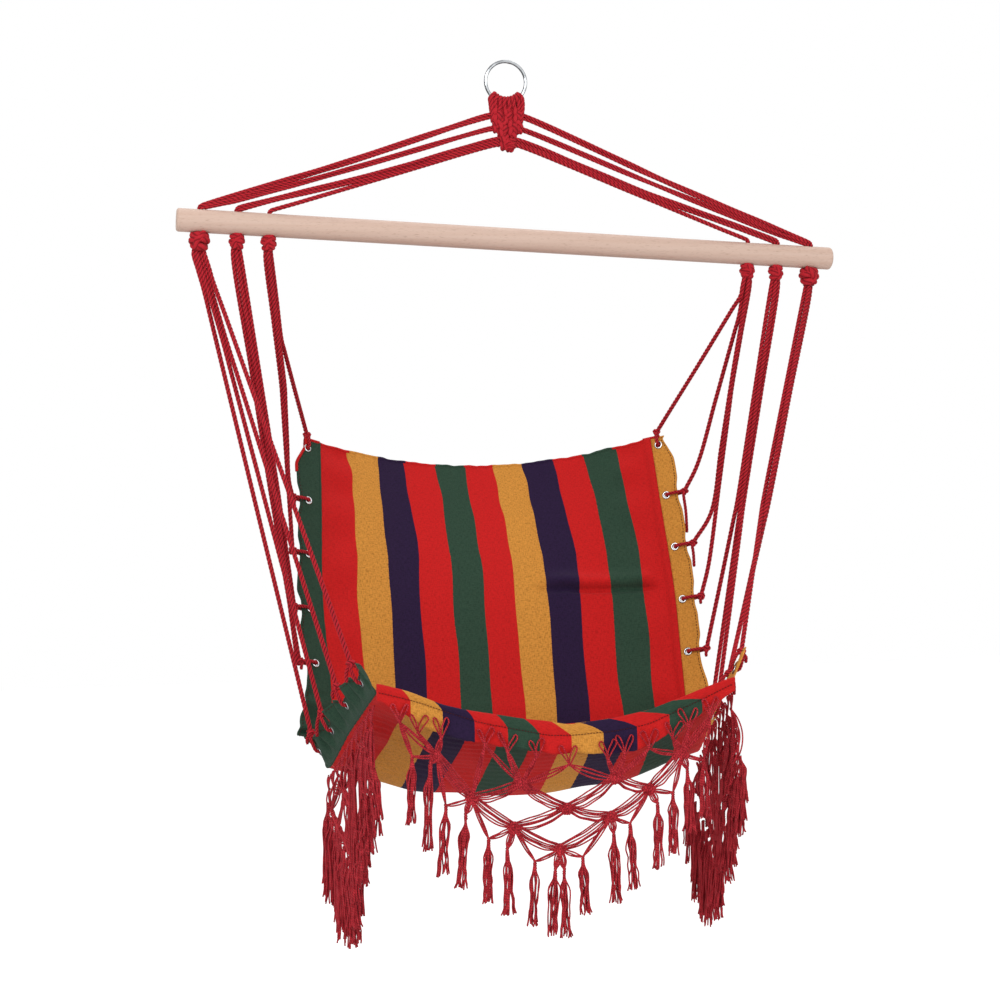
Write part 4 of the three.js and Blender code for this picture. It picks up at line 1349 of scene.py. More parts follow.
@dataclass
class Eyelets:
    """Pressed steel grommets, rolled over on both faces of the flange."""

    flange: FlangeLines
    bore: float = 8.0
    outer: float = 13.0
    half_height: float = 2.5
    segments: int = 40

    def build(self, finishes: Finishes) -> None:
        """Models one grommet and sets a copy of it in each hole."""
        model = self._model()
        for side in Side:
            for word, _ in self.flange.eyelets():
                node = f"{side.word}_eyelet_{word}"
                copy = bpy.data.objects.new(node, model.data.copy())
                bpy.context.scene.collection.objects.link(copy)
                place, out, _, normal = self.flange.frame(word, side)
                place = (place + ACROSS * self.flange.sling.shift) * MM
                side_way = np.cross(out, normal)
                basis = Matrix(np.column_stack([out, side_way * -1, normal]).tolist()).to_4x4()
                copy.data.transform(Matrix.Translation(Vector(place)) @ basis)
                face_outwards(copy.data)
                add_piece(copy, f"{node}_rolled", Body.SEAT, finishes.chrome, [node])
        bpy.data.objects.remove(model)

    def _model(self) -> bpy.types.Object:
        """Spins the rolled section of one grommet round its axis."""
        inner, rim, high = self.bore / 2, self.outer / 2, self.half_height
        middle = (inner + rim) / 2
        half = [(inner + 0.05, 0.0), (inner, high * 0.5), (inner + 0.18, high * 0.8),
                (inner + 0.62, high * 0.97), (middle, high), (rim - 0.5, high * 0.9), (rim, high * 0.66),
                (rim - 0.15, high * 0.56), (inner + 1.0, high * 0.54)]
        profile = half + [(r, -z) for r, z in reversed(half[1:])]
        mesh = bpy.data.meshes.new("grommet")
        count = len(profile)
        edges = [(i, (i + 1) % count) for i in range(count)]
        mesh.from_pydata([(r * MM, 0, z * MM) for r, z in profile], edges, [])
        model = bpy.data.objects.new("grommet", mesh)
        bpy.context.scene.collection.objects.link(model)
        pick(model)
        bpy.ops.object.mode_set(mode="EDIT")
        bpy.ops.mesh.select_all(action="SELECT")
        bpy.ops.mesh.spin(steps=self.segments, angle=tau, center=(0, 0, 0), axis=(0, 0, 1))
        bpy.ops.mesh.select_all(action="SELECT")
        bpy.ops.mesh.remove_doubles(threshold=1e-5)
        bpy.ops.mesh.normals_make_consistent(inside=False)
        bpy.ops.object.mode_set(mode="OBJECT")
        mesh.shade_smooth()
        return model


# Sling.


def smooth_noise(values: Points, seed: int, octaves: int = 3) -> Points:
    """Gentle random wave along a line, about -1 to 1.

    Args:
        values: Places along the line, in waves.
        seed: Number that picks the wave.
        octaves: How many finer waves ride on the first.

    Returns:
        Height at each place.
    """
    rng = np.random.default_rng(seed)
    total = np.zeros_like(values, dtype=float)
    for octave in range(octaves):
        phases = rng.uniform(0, tau, 3)
        rates = rng.uniform(0.7, 1.3, 3) * 2**octave
        total += sum(np.sin(values * tau * r + p) for r, p in zip(rates, phases)) / 3 / 1.6**octave
    return total / 1.4


def stitch_row(shape: Shape, line: Points, faces: Points, pitch: float) -> None:
    """Adds a row of stitches, each a short bar of thread sunk in the cloth.

    Args:
        shape: Shape that they are added to.
        line: Points along the row.
        faces: Direction out of the cloth at each point.
        pitch: Distance between stitches.
    """
    along = lengths_along(line)
    for start in np.arange(3, along[-1] - 4, pitch):
        ends = start + pitch * np.array([0.0, 0.3, 0.6])
        route, out = (at_marks(ends, along, values) for values in (line, faces))
        shape.tube(route + out * np.array([[0.0], [0.7], [0.0]]), np.array([0.4, 0.55, 0.4]), ROUND_YARN)


@dataclass
class SlingCloth:
    """Striped cotton that hangs as back and seat in one length."""

    lines: SlingLines
    flange: FlangeLines
    cell: float = 3.8
    thickness: float = 1.9
    fold_height: float = 3.2
    pucker_height: float = 2.2
    crease_height: float = 1.1
    crease_pitch: float = 13.0
    buckle_height: float = 9.0
    buckle_from_top: float = 273.0
    buckle_widths: tuple[float, float] = (3.6, 11.0)
    buckle_offset: float = 14.0
    edge_drift: float = 0.009
    stripe_wander: float = 0.0055
    stripe_shift: tuple[tuple[float, ...], ...] = ((0.0, 0.26, 0.5, 0.62), (0.0, 0.0232, 0.013, 0.0))
    lap: float = 12.0
    top_wave: float = 1.8
    hem_radius: float = 2.6

    def build(self, finishes: Finishes) -> None:
        """Makes the cloth and the rolled hem across its top."""
        lines = self.lines
        rows = int(lines.edge_length / self.cell)
        columns = int(2 * lines.half_width / self.cell)
        s, t = np.linspace(0, 1, rows), np.linspace(-1, 1, columns)
        points = lines.cloth(s, t)
        down = np.gradient(points, axis=0)
        across = np.gradient(points, axis=1)
        normals = unit(np.cross(across, down))
        points = points + normals * self._relief(s, t)[..., None]
        points[..., 2] += self._top_wave(s, t)
        half = self.thickness / 2
        shape = Shape()
        marks = np.stack(np.meshgrid((t + 1) / 2, s * lines.edge_length * MM, indexing="xy"), axis=-1)
        marks[..., 0] += self.stripe_wander * smooth_noise(s[:, None] * 2.6 + 1.8 * t[None], 31)
        drift = self.edge_drift * t * ease((0.62 - s) / 0.1)[:, None]
        marks[..., 0] -= np.interp(s, *self.stripe_shift)[:, None] + drift
        lap, lap_marks = self._lap(s, marks[:, -1])
        points = np.concatenate([points, lap], axis=1)
        marks = np.concatenate([marks, lap_marks], axis=1)
        normals = np.concatenate([normals, np.repeat(normals[:, -1:], lap.shape[1], axis=1)], axis=1)
        columns = points.shape[1]
        front, back = points + normals * half, points - normals * half
        section = np.concatenate([front, back[:, ::-1]], axis=1)
        section_marks = np.concatenate([marks, marks[:, ::-1], marks[:, :1]], axis=1)
        section = section + ACROSS * lines.shift
        shape.grid(section, section_marks, wrap_columns=True)
        self._close(shape, rows, columns)
        nodes = ["back_pad", "seat_pad"]
        cloth = add_piece(shape, "sling_cloth", Body.SEAT, finishes.striped, nodes)
        flat = (2 * lines.half_width * MM, lines.edge_length * MM)
        self._top_hem(finishes)

    def _lap(self, s: Points, marks: Points) -> tuple[Points, Points]:
        """Cloth turned over the start of the right flange.

        Args:
            s: Shares down the edge, one for each row.
            marks: Map place of the cloth's edge in each row.

        Returns:
            Points and map places, as rows by columns.
        """
        outs, tangents, turned = (np.array([line(share) for share in s.tolist()])
                                  for line in (self.flange.out, self.flange.tangent, self.flange.turned))
        faces = -unit(np.cross(outs, tangents))
        wide = self.lap * (1 - turned) + 0.6
        shares = np.array([0.25, 0.5, 0.75, 1.0])
        reach = wide[:, None] * shares
        edge = self.lines.edge(s)
        points = edge[:, None] + outs[:, None] * (reach[..., None] + 0.4) + faces[:, None] * 2.4
        spots = np.repeat(marks[:, None], 4, axis=1)
        spots[..., 0] += reach / (2 * self.lines.half_width)
        return points, spots

    def _top_wave(self, s: Points, t: Points) -> Points:
        """Small rise and fall of the top edge."""
        return self.top_wave * np.exp(-s / 0.02)[:, None] * smooth_noise(t * 3.4, 17)[None]

    def _relief(self, s: Points, t: Points) -> Points:
        """Folds, puckers between the eyelets and the small creases of the seat."""
        s, t = s[:, None], t[None, :]
        fade = np.sin(pi * np.minimum(1, np.abs(t) * 1.02)) ** 2
        folds = self.fold_height * fade * np.minimum(1, (1 - s) / 0.12) * np.sin(3.5 * pi * t + 2 * s)
        along = s * self.lines.edge_length
        near = np.sin(pi * np.clip((np.abs(t) - 0.76) / 0.24, 0, 1))
        puckers = self.pucker_height * near * np.cos(tau * (along - 15) / 88) * np.minimum(1, (1 - s) / 0.05)
        seat = np.clip((s - 0.7) / 0.06, 0, 1) * np.minimum(1, (1 - s) / 0.05)
        wander = smooth_noise(t * 1.3 + s * 2, 3)
        creases = self.crease_height * seat * np.sin(tau * along / self.crease_pitch + 2.4 * wander)
        creases = creases * (0.55 + 0.45 * smooth_noise(t * 2.2 + s * 9, 5))
        sag = 1.4 * np.exp(-(((s - 0.52) / 0.02) ** 2)) * (0.6 + 0.4 * np.cos(pi * t))
        top = 2.6 * np.exp(-s / 0.03) * smooth_noise(t * 2.6, 9)
        away = along - self.buckle_from_top - 4 * t - 1.5 * smooth_noise(t * 2, 12)
        narrow, wide = self.buckle_widths
        buckle = 1.3 * np.exp(-((away / narrow) ** 2)) - np.exp(-(((away + self.buckle_offset) / wide) ** 2))
        buckle = self.buckle_height * buckle * ease((t - 0.2) / 0.25) * ease((0.98 - t) / 0.1)
        return folds + puckers + creases - sag + top + buckle

    def _close(self, shape: Shape, rows: int, columns: int) -> None:
        """Joins the two faces along the top and the front."""
        for row in (0, rows - 1):
            first = row * 2 * columns
            last = first + 2 * columns - 1
            for j in range(columns - 1):
                spots = [(j / (columns - 1), 0.0), ((j + 1) / (columns - 1), 0.0)]
                shape.face([first + j, first + j + 1, last - 1 - j, last - j], [*spots, *spots[::-1]])

    def _top_hem(self, finishes: Finishes) -> bpy.types.Object:
        """Rolled hem along the top edge."""
        count, corners = 170, 10
        t, s = np.linspace(-1, 1, count), np.zeros(1)
        middle = self.lines.cloth(s, t)[0] + ACROSS * self.lines.shift
        relief = self._relief(s, t)[0]
        middle = middle + BACKWARDS * relief[:, None] + UP * (self._top_wave(s, t)[0] - 1.2)[:, None]
        angles = np.linspace(0, tau, corners + 1)
        swell = self.hem_radius * (1 + 0.08 * smooth_noise(t * 6, 4))
        ring = np.column_stack([np.zeros(corners), np.cos(angles[:-1]), np.sin(angles[:-1]) * 0.9])
        marks = np.empty((count, corners + 1, 2))
        marks[..., 0] = ((t + 1) / 2)[:, None]
        marks[..., 1] = angles * self.hem_radius * MM
        shape = Shape()
        shape.grid(middle[:, None] + ring * swell[:, None, None], marks, wrap_columns=True)
        shape.face(range(corners))
        shape.face(range(shape.count - 1, shape.count - 1 - corners, -1))
        return add_piece(shape, "sling_top_hem", Body.SEAT, finishes.striped)


@dataclass(frozen=True)
class Fullness:
    """How one flange is drawn in at its eyelets and hangs full between them; pairs are for back and seat."""

    cinch: tuple[float, float]
    bulge: tuple[float, float]
    fold: tuple[float, float]
    corner: float
    bound: float
    pleat: float
    seam_radius: float


FULLNESS = {
    Side.LEFT: Fullness((7.0, 13.5), (-3.0, -1.0), (3.4, 9.0), corner=17.0, bound=58.0, pleat=6.4, seam_radius=2.1),
    Side.RIGHT: Fullness((4.0, 9.0), (-1.0, 4.0), (3.4, 4.0), corner=11.0, bound=0.0, pleat=2.0, seam_radius=0.8),
}


@dataclass
class SideFlanges:
    """Single-colour bands sewn down both sides of the sling, with a hole for each eyelet."""

    lines: FlangeLines
    cell: float = 1.7
    thickness: float = 1.6
    hole: float = 5.0
    corner_run: float = 22.0
    pleat_pitch: float = 31.0
    binding_radius: float = 2.4
    stitch_inset: float = 4.5
    stitch_pitch: float = 5.0

    def build(self, finishes: Finishes) -> None:
        """Makes both flanges and the bound edge at the top of each."""
        colours = {Side.LEFT: (finishes.green, Slot.GREEN), Side.RIGHT: (finishes.amber, Slot.AMBER)}
        flat = (self.lines.width * MM, self.lines.sling.edge_length * MM)
        for side, (material, slot) in colours.items():
            node = f"{side.word}_flange"
            flange = add_piece(self._sheet(side), f"{node}_cloth", Body.SEAT, material, [node])
            trims = [self._binding(side, finishes), self._stitching(side, finishes)]

    def _surface(self, side: Side) -> tuple[Points, Points, Points, Points]:
        """Middle of the flange.

        Args:
            side: Side of the chair.

        Returns:
            Points, normals, distances down the edge, and shares across it.
        """
        distances, starts, outs, normals, near = self.lines.rows(side)
        marks = np.linspace(0, distances[-1], int(distances[-1] / self.cell))
        starts, outs, normals = (at_marks(marks, distances, values) for values in (starts, outs, normals))
        outs, normals = unit(outs), unit(normals)
        flat = np.interp(marks, distances, near)
        slack = ease(1 - flat)
        seat = np.clip((marks - self.lines.turn_from) / (self.lines.turn_to - self.lines.turn_from), 0, 1)
        v = np.linspace(-0.05, 1, int(self.lines.width / self.cell))
        full = FULLNESS[side]
        cinch, bulge, fold = (back + (end - back) * seat for back, end in (full.cinch, full.bulge, full.fold))
        width = self.lines.width - cinch * (1 - slack) + bulge * slack
        width = width - full.corner * np.exp(-((marks / self.corner_run) ** 2))
        points = starts[:, None] + outs[:, None] * (width[:, None] * v)[..., None]
        ripple = np.sin(marks / 29.0 + side.value) * 0.5 + 0.5 * np.sin(marks / 11.0 + 2 * side.value)
        lift = (fold * slack * (0.35 + 0.65 * ripple))[:, None] * np.maximum(v, 0)[None] ** 1.3
        wave = tau * marks / self.pleat_pitch + 1.4 * smooth_noise(marks / 90, 6)
        pleat = full.pleat * seat * (0.2 + 0.8 * slack) * np.sin(wave)
        lift = lift + pleat[:, None] * np.sin(pi * np.clip(v, 0, 1) * 0.62)[None]
        return points + normals[:, None] * lift[..., None], normals, marks, v

    def _sheet(self, side: Side) -> Shape:
        """Closed thin sheet with round holes."""
        points, normals, marks, v = self._surface(side)
        rows, columns = len(marks), len(v)
        keep = np.ones((rows - 1, columns - 1), bool)
        centres = (points[:-1, :-1] + points[1:, 1:]) / 2
        for word, _ in self.lines.eyelets():
            place = self.lines.frame(word, side)[0]
            keep &= np.linalg.norm(centres - place, axis=2) > self.hole
            away = points - place
            reach = np.linalg.norm(away, axis=2)
            rim = (reach > 1.0) & (reach < self.hole + 1.3)
            points[rim] = place + away[rim] / reach[rim][:, None] * np.maximum(reach[rim], self.hole)[:, None]
        shift = ACROSS * self.lines.sling.shift
        half = normals[:, None] * self.thickness / 2
        shape = Shape()
        index = np.arange(rows * columns).reshape(rows, columns)
        total = rows * columns
        shape.points = [(points + half + shift).reshape(-1, 3), (points - half + shift).reshape(-1, 3)]
        shape.count = 2 * total
        across = v * self.lines.width / (2 * self.lines.sling.half_width)
        spot = np.stack(np.meshgrid(across, marks * MM, indexing="xy"), axis=-1)
        corner = ((0, 0), (0, 1), (1, 1), (1, 0))
        for i, j in np.argwhere(keep):
            face = [int(index[i + a, j + b]) for a, b in corner]
            spots = [tuple(spot[i + a, j + b]) for a, b in corner]
            shape.face(face, spots)
            shape.face([k + total for k in reversed(face)], spots[::-1])
        padded = np.pad(keep, 1)
        for di, dj, a, b in ((-1, 0, 0, 1), (0, 1, 1, 2), (1, 0, 2, 3), (0, -1, 3, 0)):
            open_side = keep & ~padded[1 + di : rows + di, 1 + dj : columns + dj]
            for i, j in np.argwhere(open_side):
                first = int(index[i + corner[a][0], j + corner[a][1]])
                second = int(index[i + corner[b][0], j + corner[b][1]])
                shape.face([second, first, first + total, second + total], [tuple(spot[i, j])] * 4)
        edge = mirrored(self.lines.sling.edge(self.lines.sling.share_at(marks)), side) + shift
        shape.tube(edge, FULLNESS[side].seam_radius + 0.25 * smooth_noise(marks / 40, 8), np.ones(8))
        return shape

    def _stitching(self, side: Side, finishes: Finishes) -> bpy.types.Object:
        """Row of stitches along the hem of the outer edge, on both faces."""
        points, normals, _, v = self._surface(side)
        column = int(np.argmin(np.abs(v - 1 + self.stitch_inset / self.lines.width)))
        shape = Shape()
        for way in (-1, 1):
            face = normals * way
            line = points[:, column] + ACROSS * self.lines.sling.shift + face * self.thickness * 0.42
            stitch_row(shape, line, face, self.stitch_pitch)
        return add_piece(shape, f"{side.word}_flange_stitching", Body.SEAT, finishes.thread)

    def _binding(self, side: Side, finishes: Finishes) -> bpy.types.Object:
        """Bound edge across the flange's top and down past its corner."""
        points, _, _, _ = self._surface(side)
        corner = int(FULLNESS[side].bound / self.cell)
        across = points[0, ::4] if corner else points[0, :int(0.86 * points.shape[1]):4]
        route = np.vstack([across, points[1:corner:4, -1]]) + ACROSS * self.lines.sling.shift
        shape = Shape()
        shape.tube(evenly(route, 2.0), self.binding_radius, np.ones(10))
        return add_piece(shape, f"{side.word}_flange_binding", Body.SEAT, finishes.binding)


# Across and height of the hem's top, its stitches and its lower edge.
HEM_TOP = (
    (-248, -891), (-204, -904), (-158, -924), (-124, -933), (-87, -940), (-40, -949), (-14, -952), (20, -959),
    (47, -955.7), (81, -952), (131, -942), (177, -925), (204, -914), (248, -898))
HEM_STITCH = (
    (-248, -903), (-193, -919), (-151, -935), (-102, -952), (-53, -963), (-7, -973), (25, -974), (85, -970),
    (130, -962), (166, -946), (208, -927), (248, -907))
HEM_LOW = (
    (-248, -914), (-212, -934), (-171, -960), (-112, -978), (-54, -988), (-7, -998), (38, -999), (90, -1001),
    (120, -996), (143, -984), (191, -955), (225, -932), (248, -917))


@dataclass
class FrontHem:
    """Front edge of the seat, rolled over a cord, stitched, and left as a loose flap below."""

    lines: SlingLines
    front_share: float = 0.885
    flat_height: float = 56.0
    setback: float = 1.4
    roll_depth: float = 7.0
    thickness: float = 1.7
    stitch_pitch: float = 4.2
    tuck: float = 3.4

    def face_y(self, x: Points) -> Points:
        """Front face of the hem across the seat."""
        t = np.clip(x / (self.lines.half_width * self.front_share), -1, 1)
        edge = self.lines.back_reach - self.lines.depth
        middle = self.lines.back_reach - self.lines.depth * 0.937
        return middle + (edge - middle) * t**2 - self.setback - self.roll_depth

    def build(self, finishes: Finishes) -> None:
        """Makes the roll with its flap, and the row of stitches."""
        count = 230
        t = np.linspace(-1, 1, count)
        x = t * self.lines.half_width * self.front_share
        top, stitch, low = (self._line(table, x) for table in (HEM_TOP, HEM_STITCH, HEM_LOW))
        face = self.face_y(x)
        wave = smooth_noise(t * 5, 21)
        low = low + 1.8 * wave
        rows = self._section(x, face, top, stitch, low, wave)
        skew = 0.03 + 0.07 * np.clip((t + 0.45) / 0.8, 0, 1)
        lift = np.array([1.0, 1.0, 1.0, 0.95, 0.8, 0.6, 0.35, 0.15] + [0.0] * (len(rows) - 8))
        across = ((t + 1) / 2)[None] + skew[None] * lift[:, None]
        down = np.cumsum(np.full(len(rows), 4.2))[:, None] * MM * np.ones((1, count))
        marks = np.stack([across, down], axis=-1)
        self._piece(rows, marks, finishes)
        self._stitches(x, face, stitch, finishes)

    def _line(self, table: Sequence[tuple[float, float]], x: Points) -> Points:
        """Smooth height along the hem from a table of places."""
        spots = np.array(table, float)
        heights = np.interp(x, spots[:, 0], spots[:, 1])
        kernel = np.hanning(17)
        padded = np.pad(heights, 8, mode="edge")
        return np.convolve(padded, kernel / kernel.sum(), mode="valid")

    def _section(
        self, x: Points, face: Points, top: Points, stitch: Points, low: Points, wave: Points,
    ) -> Points:
        """Rows of the hem: over the roll, in at the stitches and down the flap."""
        height = top - stitch
        back = face + self.roll_depth
        low_share, front = (self.lines.stations[-1][k] for k in (2, 4))
        cloth = front + (low_share - front) * (x / (self.lines.half_width * self.front_share)) ** 2
        rows = [(back + self.tuck, -self.lines.top_drop - self.lines.height * cloth)]
        for share, depth in ((0.45, 0.0), (0.75, 0.12), (0.95, 0.42), (0.98, 0.72), (0.82, 0.94), (0.55, 1.0),
                             (0.25, 0.93), (0.0, 0.74)):
            rows.append((back - depth * self.roll_depth, stitch + share * height))
        drop = stitch - low
        for share, depth in ((0.14, 0.8), (0.3, 0.92), (0.5, 0.98), (0.7, 1.0), (0.88, 0.98), (1.0, 0.92)):
            ripple = wave * 1.6 * share**1.5
            rows.append((back - depth * self.roll_depth + ripple, stitch - share * drop))
        return np.stack([np.column_stack([x, y, z]) for y, z in rows])

    def _piece(self, rows: Points, marks: Points, finishes: Finishes) -> None:
        """Gives the hem its thickness and closes it."""
        down = np.gradient(rows, axis=0)
        across = np.gradient(rows, axis=1)
        normals = unit(np.cross(across, down))
        outer = rows + ACROSS * self.lines.shift
        inner = outer + normals * self.thickness * np.sign(normals[6, 100, 1])
        loop = np.concatenate([outer, inner[::-1]], axis=0)
        spots = np.concatenate([marks, marks[::-1], marks[:1]], axis=0)
        shape = Shape()
        shape.grid(loop, spots, wrap_rows=True)
        count, wide = len(rows), rows.shape[1]
        for j in (0, wide - 1):
            for i in range(count - 1):
                a, b = i * wide + j, (i + 1) * wide + j
                c, d = (2 * count - 2 - i) * wide + j, (2 * count - 1 - i) * wide + j
                shape.face([a, b, c, d], [tuple(marks[i, j])] * 4)
        hem = add_piece(shape, "front_hem_cloth", Body.SEAT, finishes.striped, ["front_hem"])

    def _stitches(self, x: Points, face: Points, stitch: Points, finishes: Finishes) -> None:
        """Row of stitches, each a short bar of thread sunk in the cloth."""
        line = np.column_stack([x, face + self.roll_depth * 0.24 - 0.5, stitch]) + ACROSS * self.lines.shift
        shape = Shape()
        stitch_row(shape, line, np.tile(-BACKWARDS, (len(line), 1)), self.stitch_pitch)
        add_piece(shape, "front_hem_stitching", Body.SEAT, finishes.thread)


# Fringes.


@dataclass
class FringeLayout:
    """Places of a fringe's knots and tassels on its hanging surface: along the edge, and height."""

    first: list[Spot]
    net: dict[str, Spot]
    links: list[tuple[str, str]]
    gathers: list[tuple[Spot, Spot, tuple[str, ...]]]
    to_net: list[tuple[int, str]]
    ridges: tuple[tuple[str, ...], ...] = ()
    ear_height: float = 25.0
    ear_spread: float = 10.0


FRONT_LAYOUT = FringeLayout(
    first=[(-217.8, -943.9), (-191.9, -959.9), (-160.2, -968.4), (-99.1, -981.0), (-67.6, -991.7),
           (-26.9, -1000.5), (18.6, -1013.2), (72.0, -1006.5), (96.0, -1002.0), (129.9, -994.8),
           (162.0, -982.0), (184.0, -968.0), (213.0, -952.0)],
    net={"a1": (-166.6, -991.8), "a2": (-49.0, -1036.4), "a3": (82.3, -1034.4), "a4": (174.0, -1002.4),
         "b1": (-118.8, -1051.8), "b2": (14.9, -1073.0), "b3": (129.1, -1050.2),
         "c1": (-60.0, -1094.7), "c2": (75.9, -1086.3), "d1": (4.4, -1127.7)},
    links=[("a1", "b1"), ("a2", "b1"), ("a2", "b2"), ("a3", "b2"), ("a3", "b3"), ("a4", "b3"), ("b1", "c1"),
           ("b2", "c1"), ("b2", "c2"), ("b3", "c2"), ("c1", "d1"), ("c2", "d1")],
    gathers=[((-200.9, -990.3), (-202.9, -1078.9), ("a1", "first0")),
             ((-175.4, -1000.5), (-180.7, -1116.3), ("a1",)),
             ((-154.9, -1058.7), (-161.2, -1152.2), ("a1", "b1")),
             ((-127.3, -1072.5), (-134.3, -1171.6), ("b1",)),
             ((-95.7, -1107.5), (-99.6, -1194.3), ("b1", "c1")),
             ((-69.8, -1122.9), (-68.7, -1212.6), ("c1",)),
             ((-31.2, -1142.0), (-37.8, -1228.1), ("c1", "d1")),
             ((-3.0, -1154.3), (-9.8, -1243.3), ("d1",)),
             ((9.5, -1154.9), (11.5, -1246.2), ("d1",)),
             ((35.6, -1139.3), (38.3, -1217.7), ("d1", "c2")),
             ((79.0, -1108.7), (81.8, -1204.9), ("c2",)),
             ((101.6, -1096.0), (104.6, -1185.4), ("c2", "b3")),
             ((139.7, -1070.0), (141.1, -1159.5), ("b3",)),
             ((161.1, -1055.6), (161.0, -1139.7), ("b3", "a4")),
             ((181.0, -1024.0), (183.0, -1112.0), ("a4",)),
             ((203.0, -1012.0), (205.0, -1092.0), ("a4", "first12"))],
    to_net=[(0, "a1"), (1, "a1"), (2, "a1"), (3, "b1"), (3, "a2"), (4, "a2"), (5, "a2"), (6, "a2"), (6, "a3"),
            (7, "a3"), (8, "a3"), (9, "a3"), (9, "a4"), (10, "a4"), (11, "a4"), (12, "a4")],
)


# Along the side from the front, in half lengths, and how far below the edge each tassel ends.
SIDE_TASSELS = (
    (-0.94, 180.0), (-0.8, 197.0), (-0.65, 214.0), (-0.5, 229.0), (-0.35, 246.0), (-0.2, 278.0), (-0.05, 292.0),
    (0.1, 290.0), (0.27, 276.0), (0.44, 256.0), (0.6, 232.0), (0.76, 200.0), (0.93, 160.0))


def side_layout(run: float, seed: int) -> FringeLayout:
    """Layout of a side fringe: the same net over the side's length, with closer tassels.

    Args:
        run: Length of the side.
        seed: Number that picks its small unevenness.

    Returns:
        The layout, its heights measured down from the side's edge.
    """
    rng = np.random.default_rng(seed)
    jitter = lambda: rng.uniform(-3, 3)
    pitch, top, depth = run * 0.27, 62.0, 176.0
    step = (depth - top) / 3
    net, links, gathers = {}, [], []
    for r, row in enumerate("abcd"):
        for i in range(4 - r):
            net[f"{row}{i + 1}"] = ((i - (3 - r) / 2) * pitch + jitter(), -(top + r * step) + jitter())
    for r, row in enumerate("abc"):
        below = "bcd"[r]
        for i in range(4 - r):
            links += [(f"{row}{i + 1}", f"{below}{k}") for k in (i, i + 1) if 1 <= k <= 3 - r]
    count = 10
    first = [((i - (count - 1) / 2) * run / count, -28 + jitter()) for i in range(count)]
    to_net = []
    for i, (a, _) in enumerate(first):
        order = sorted(range(1, 5), key=lambda k: abs(net[f"a{k}"][0] - a))
        to_net += [(i, f"a{order[0]}"), (i, f"a{order[1]}")] if 0 < i < count - 1 else [(i, f"a{order[0]}")]
    for share, length in SIDE_TASSELS:
        a = share * run / 2
        knots = sorted(net, key=lambda name: abs(net[name][0] - a) + 0.35 * abs(net[name][1] + length - 105))
        near = sorted(range(count), key=lambda i: abs(first[i][0] - a))
        ridge = depth - (depth - top) * max(share, 0.0) / 0.81
        for lag, pulls in ((0.0, (f"first{near[0]}", knots[0])), (20.0, (f"first{near[1]}", knots[0]))):
            high = length - lag - 66 - rng.uniform(0, 10)
            if share > 0.05:
                high, pulls = ridge + 5 - lag / 8, ()
            shift = lag * run / 560 * (share > 0.05)
            top_spot = (a + shift + jitter(), -high)
            gathers.append((top_spot, (a + shift + 2 * jitter(), lag - length + jitter()), pulls))
    ridges = (("a3", "b2", "c1"), ("a4", "b3", "c2", "d1"))
    return FringeLayout(first, net, links, gathers, to_net, ridges, ear_height=21.0, ear_spread=9.0)


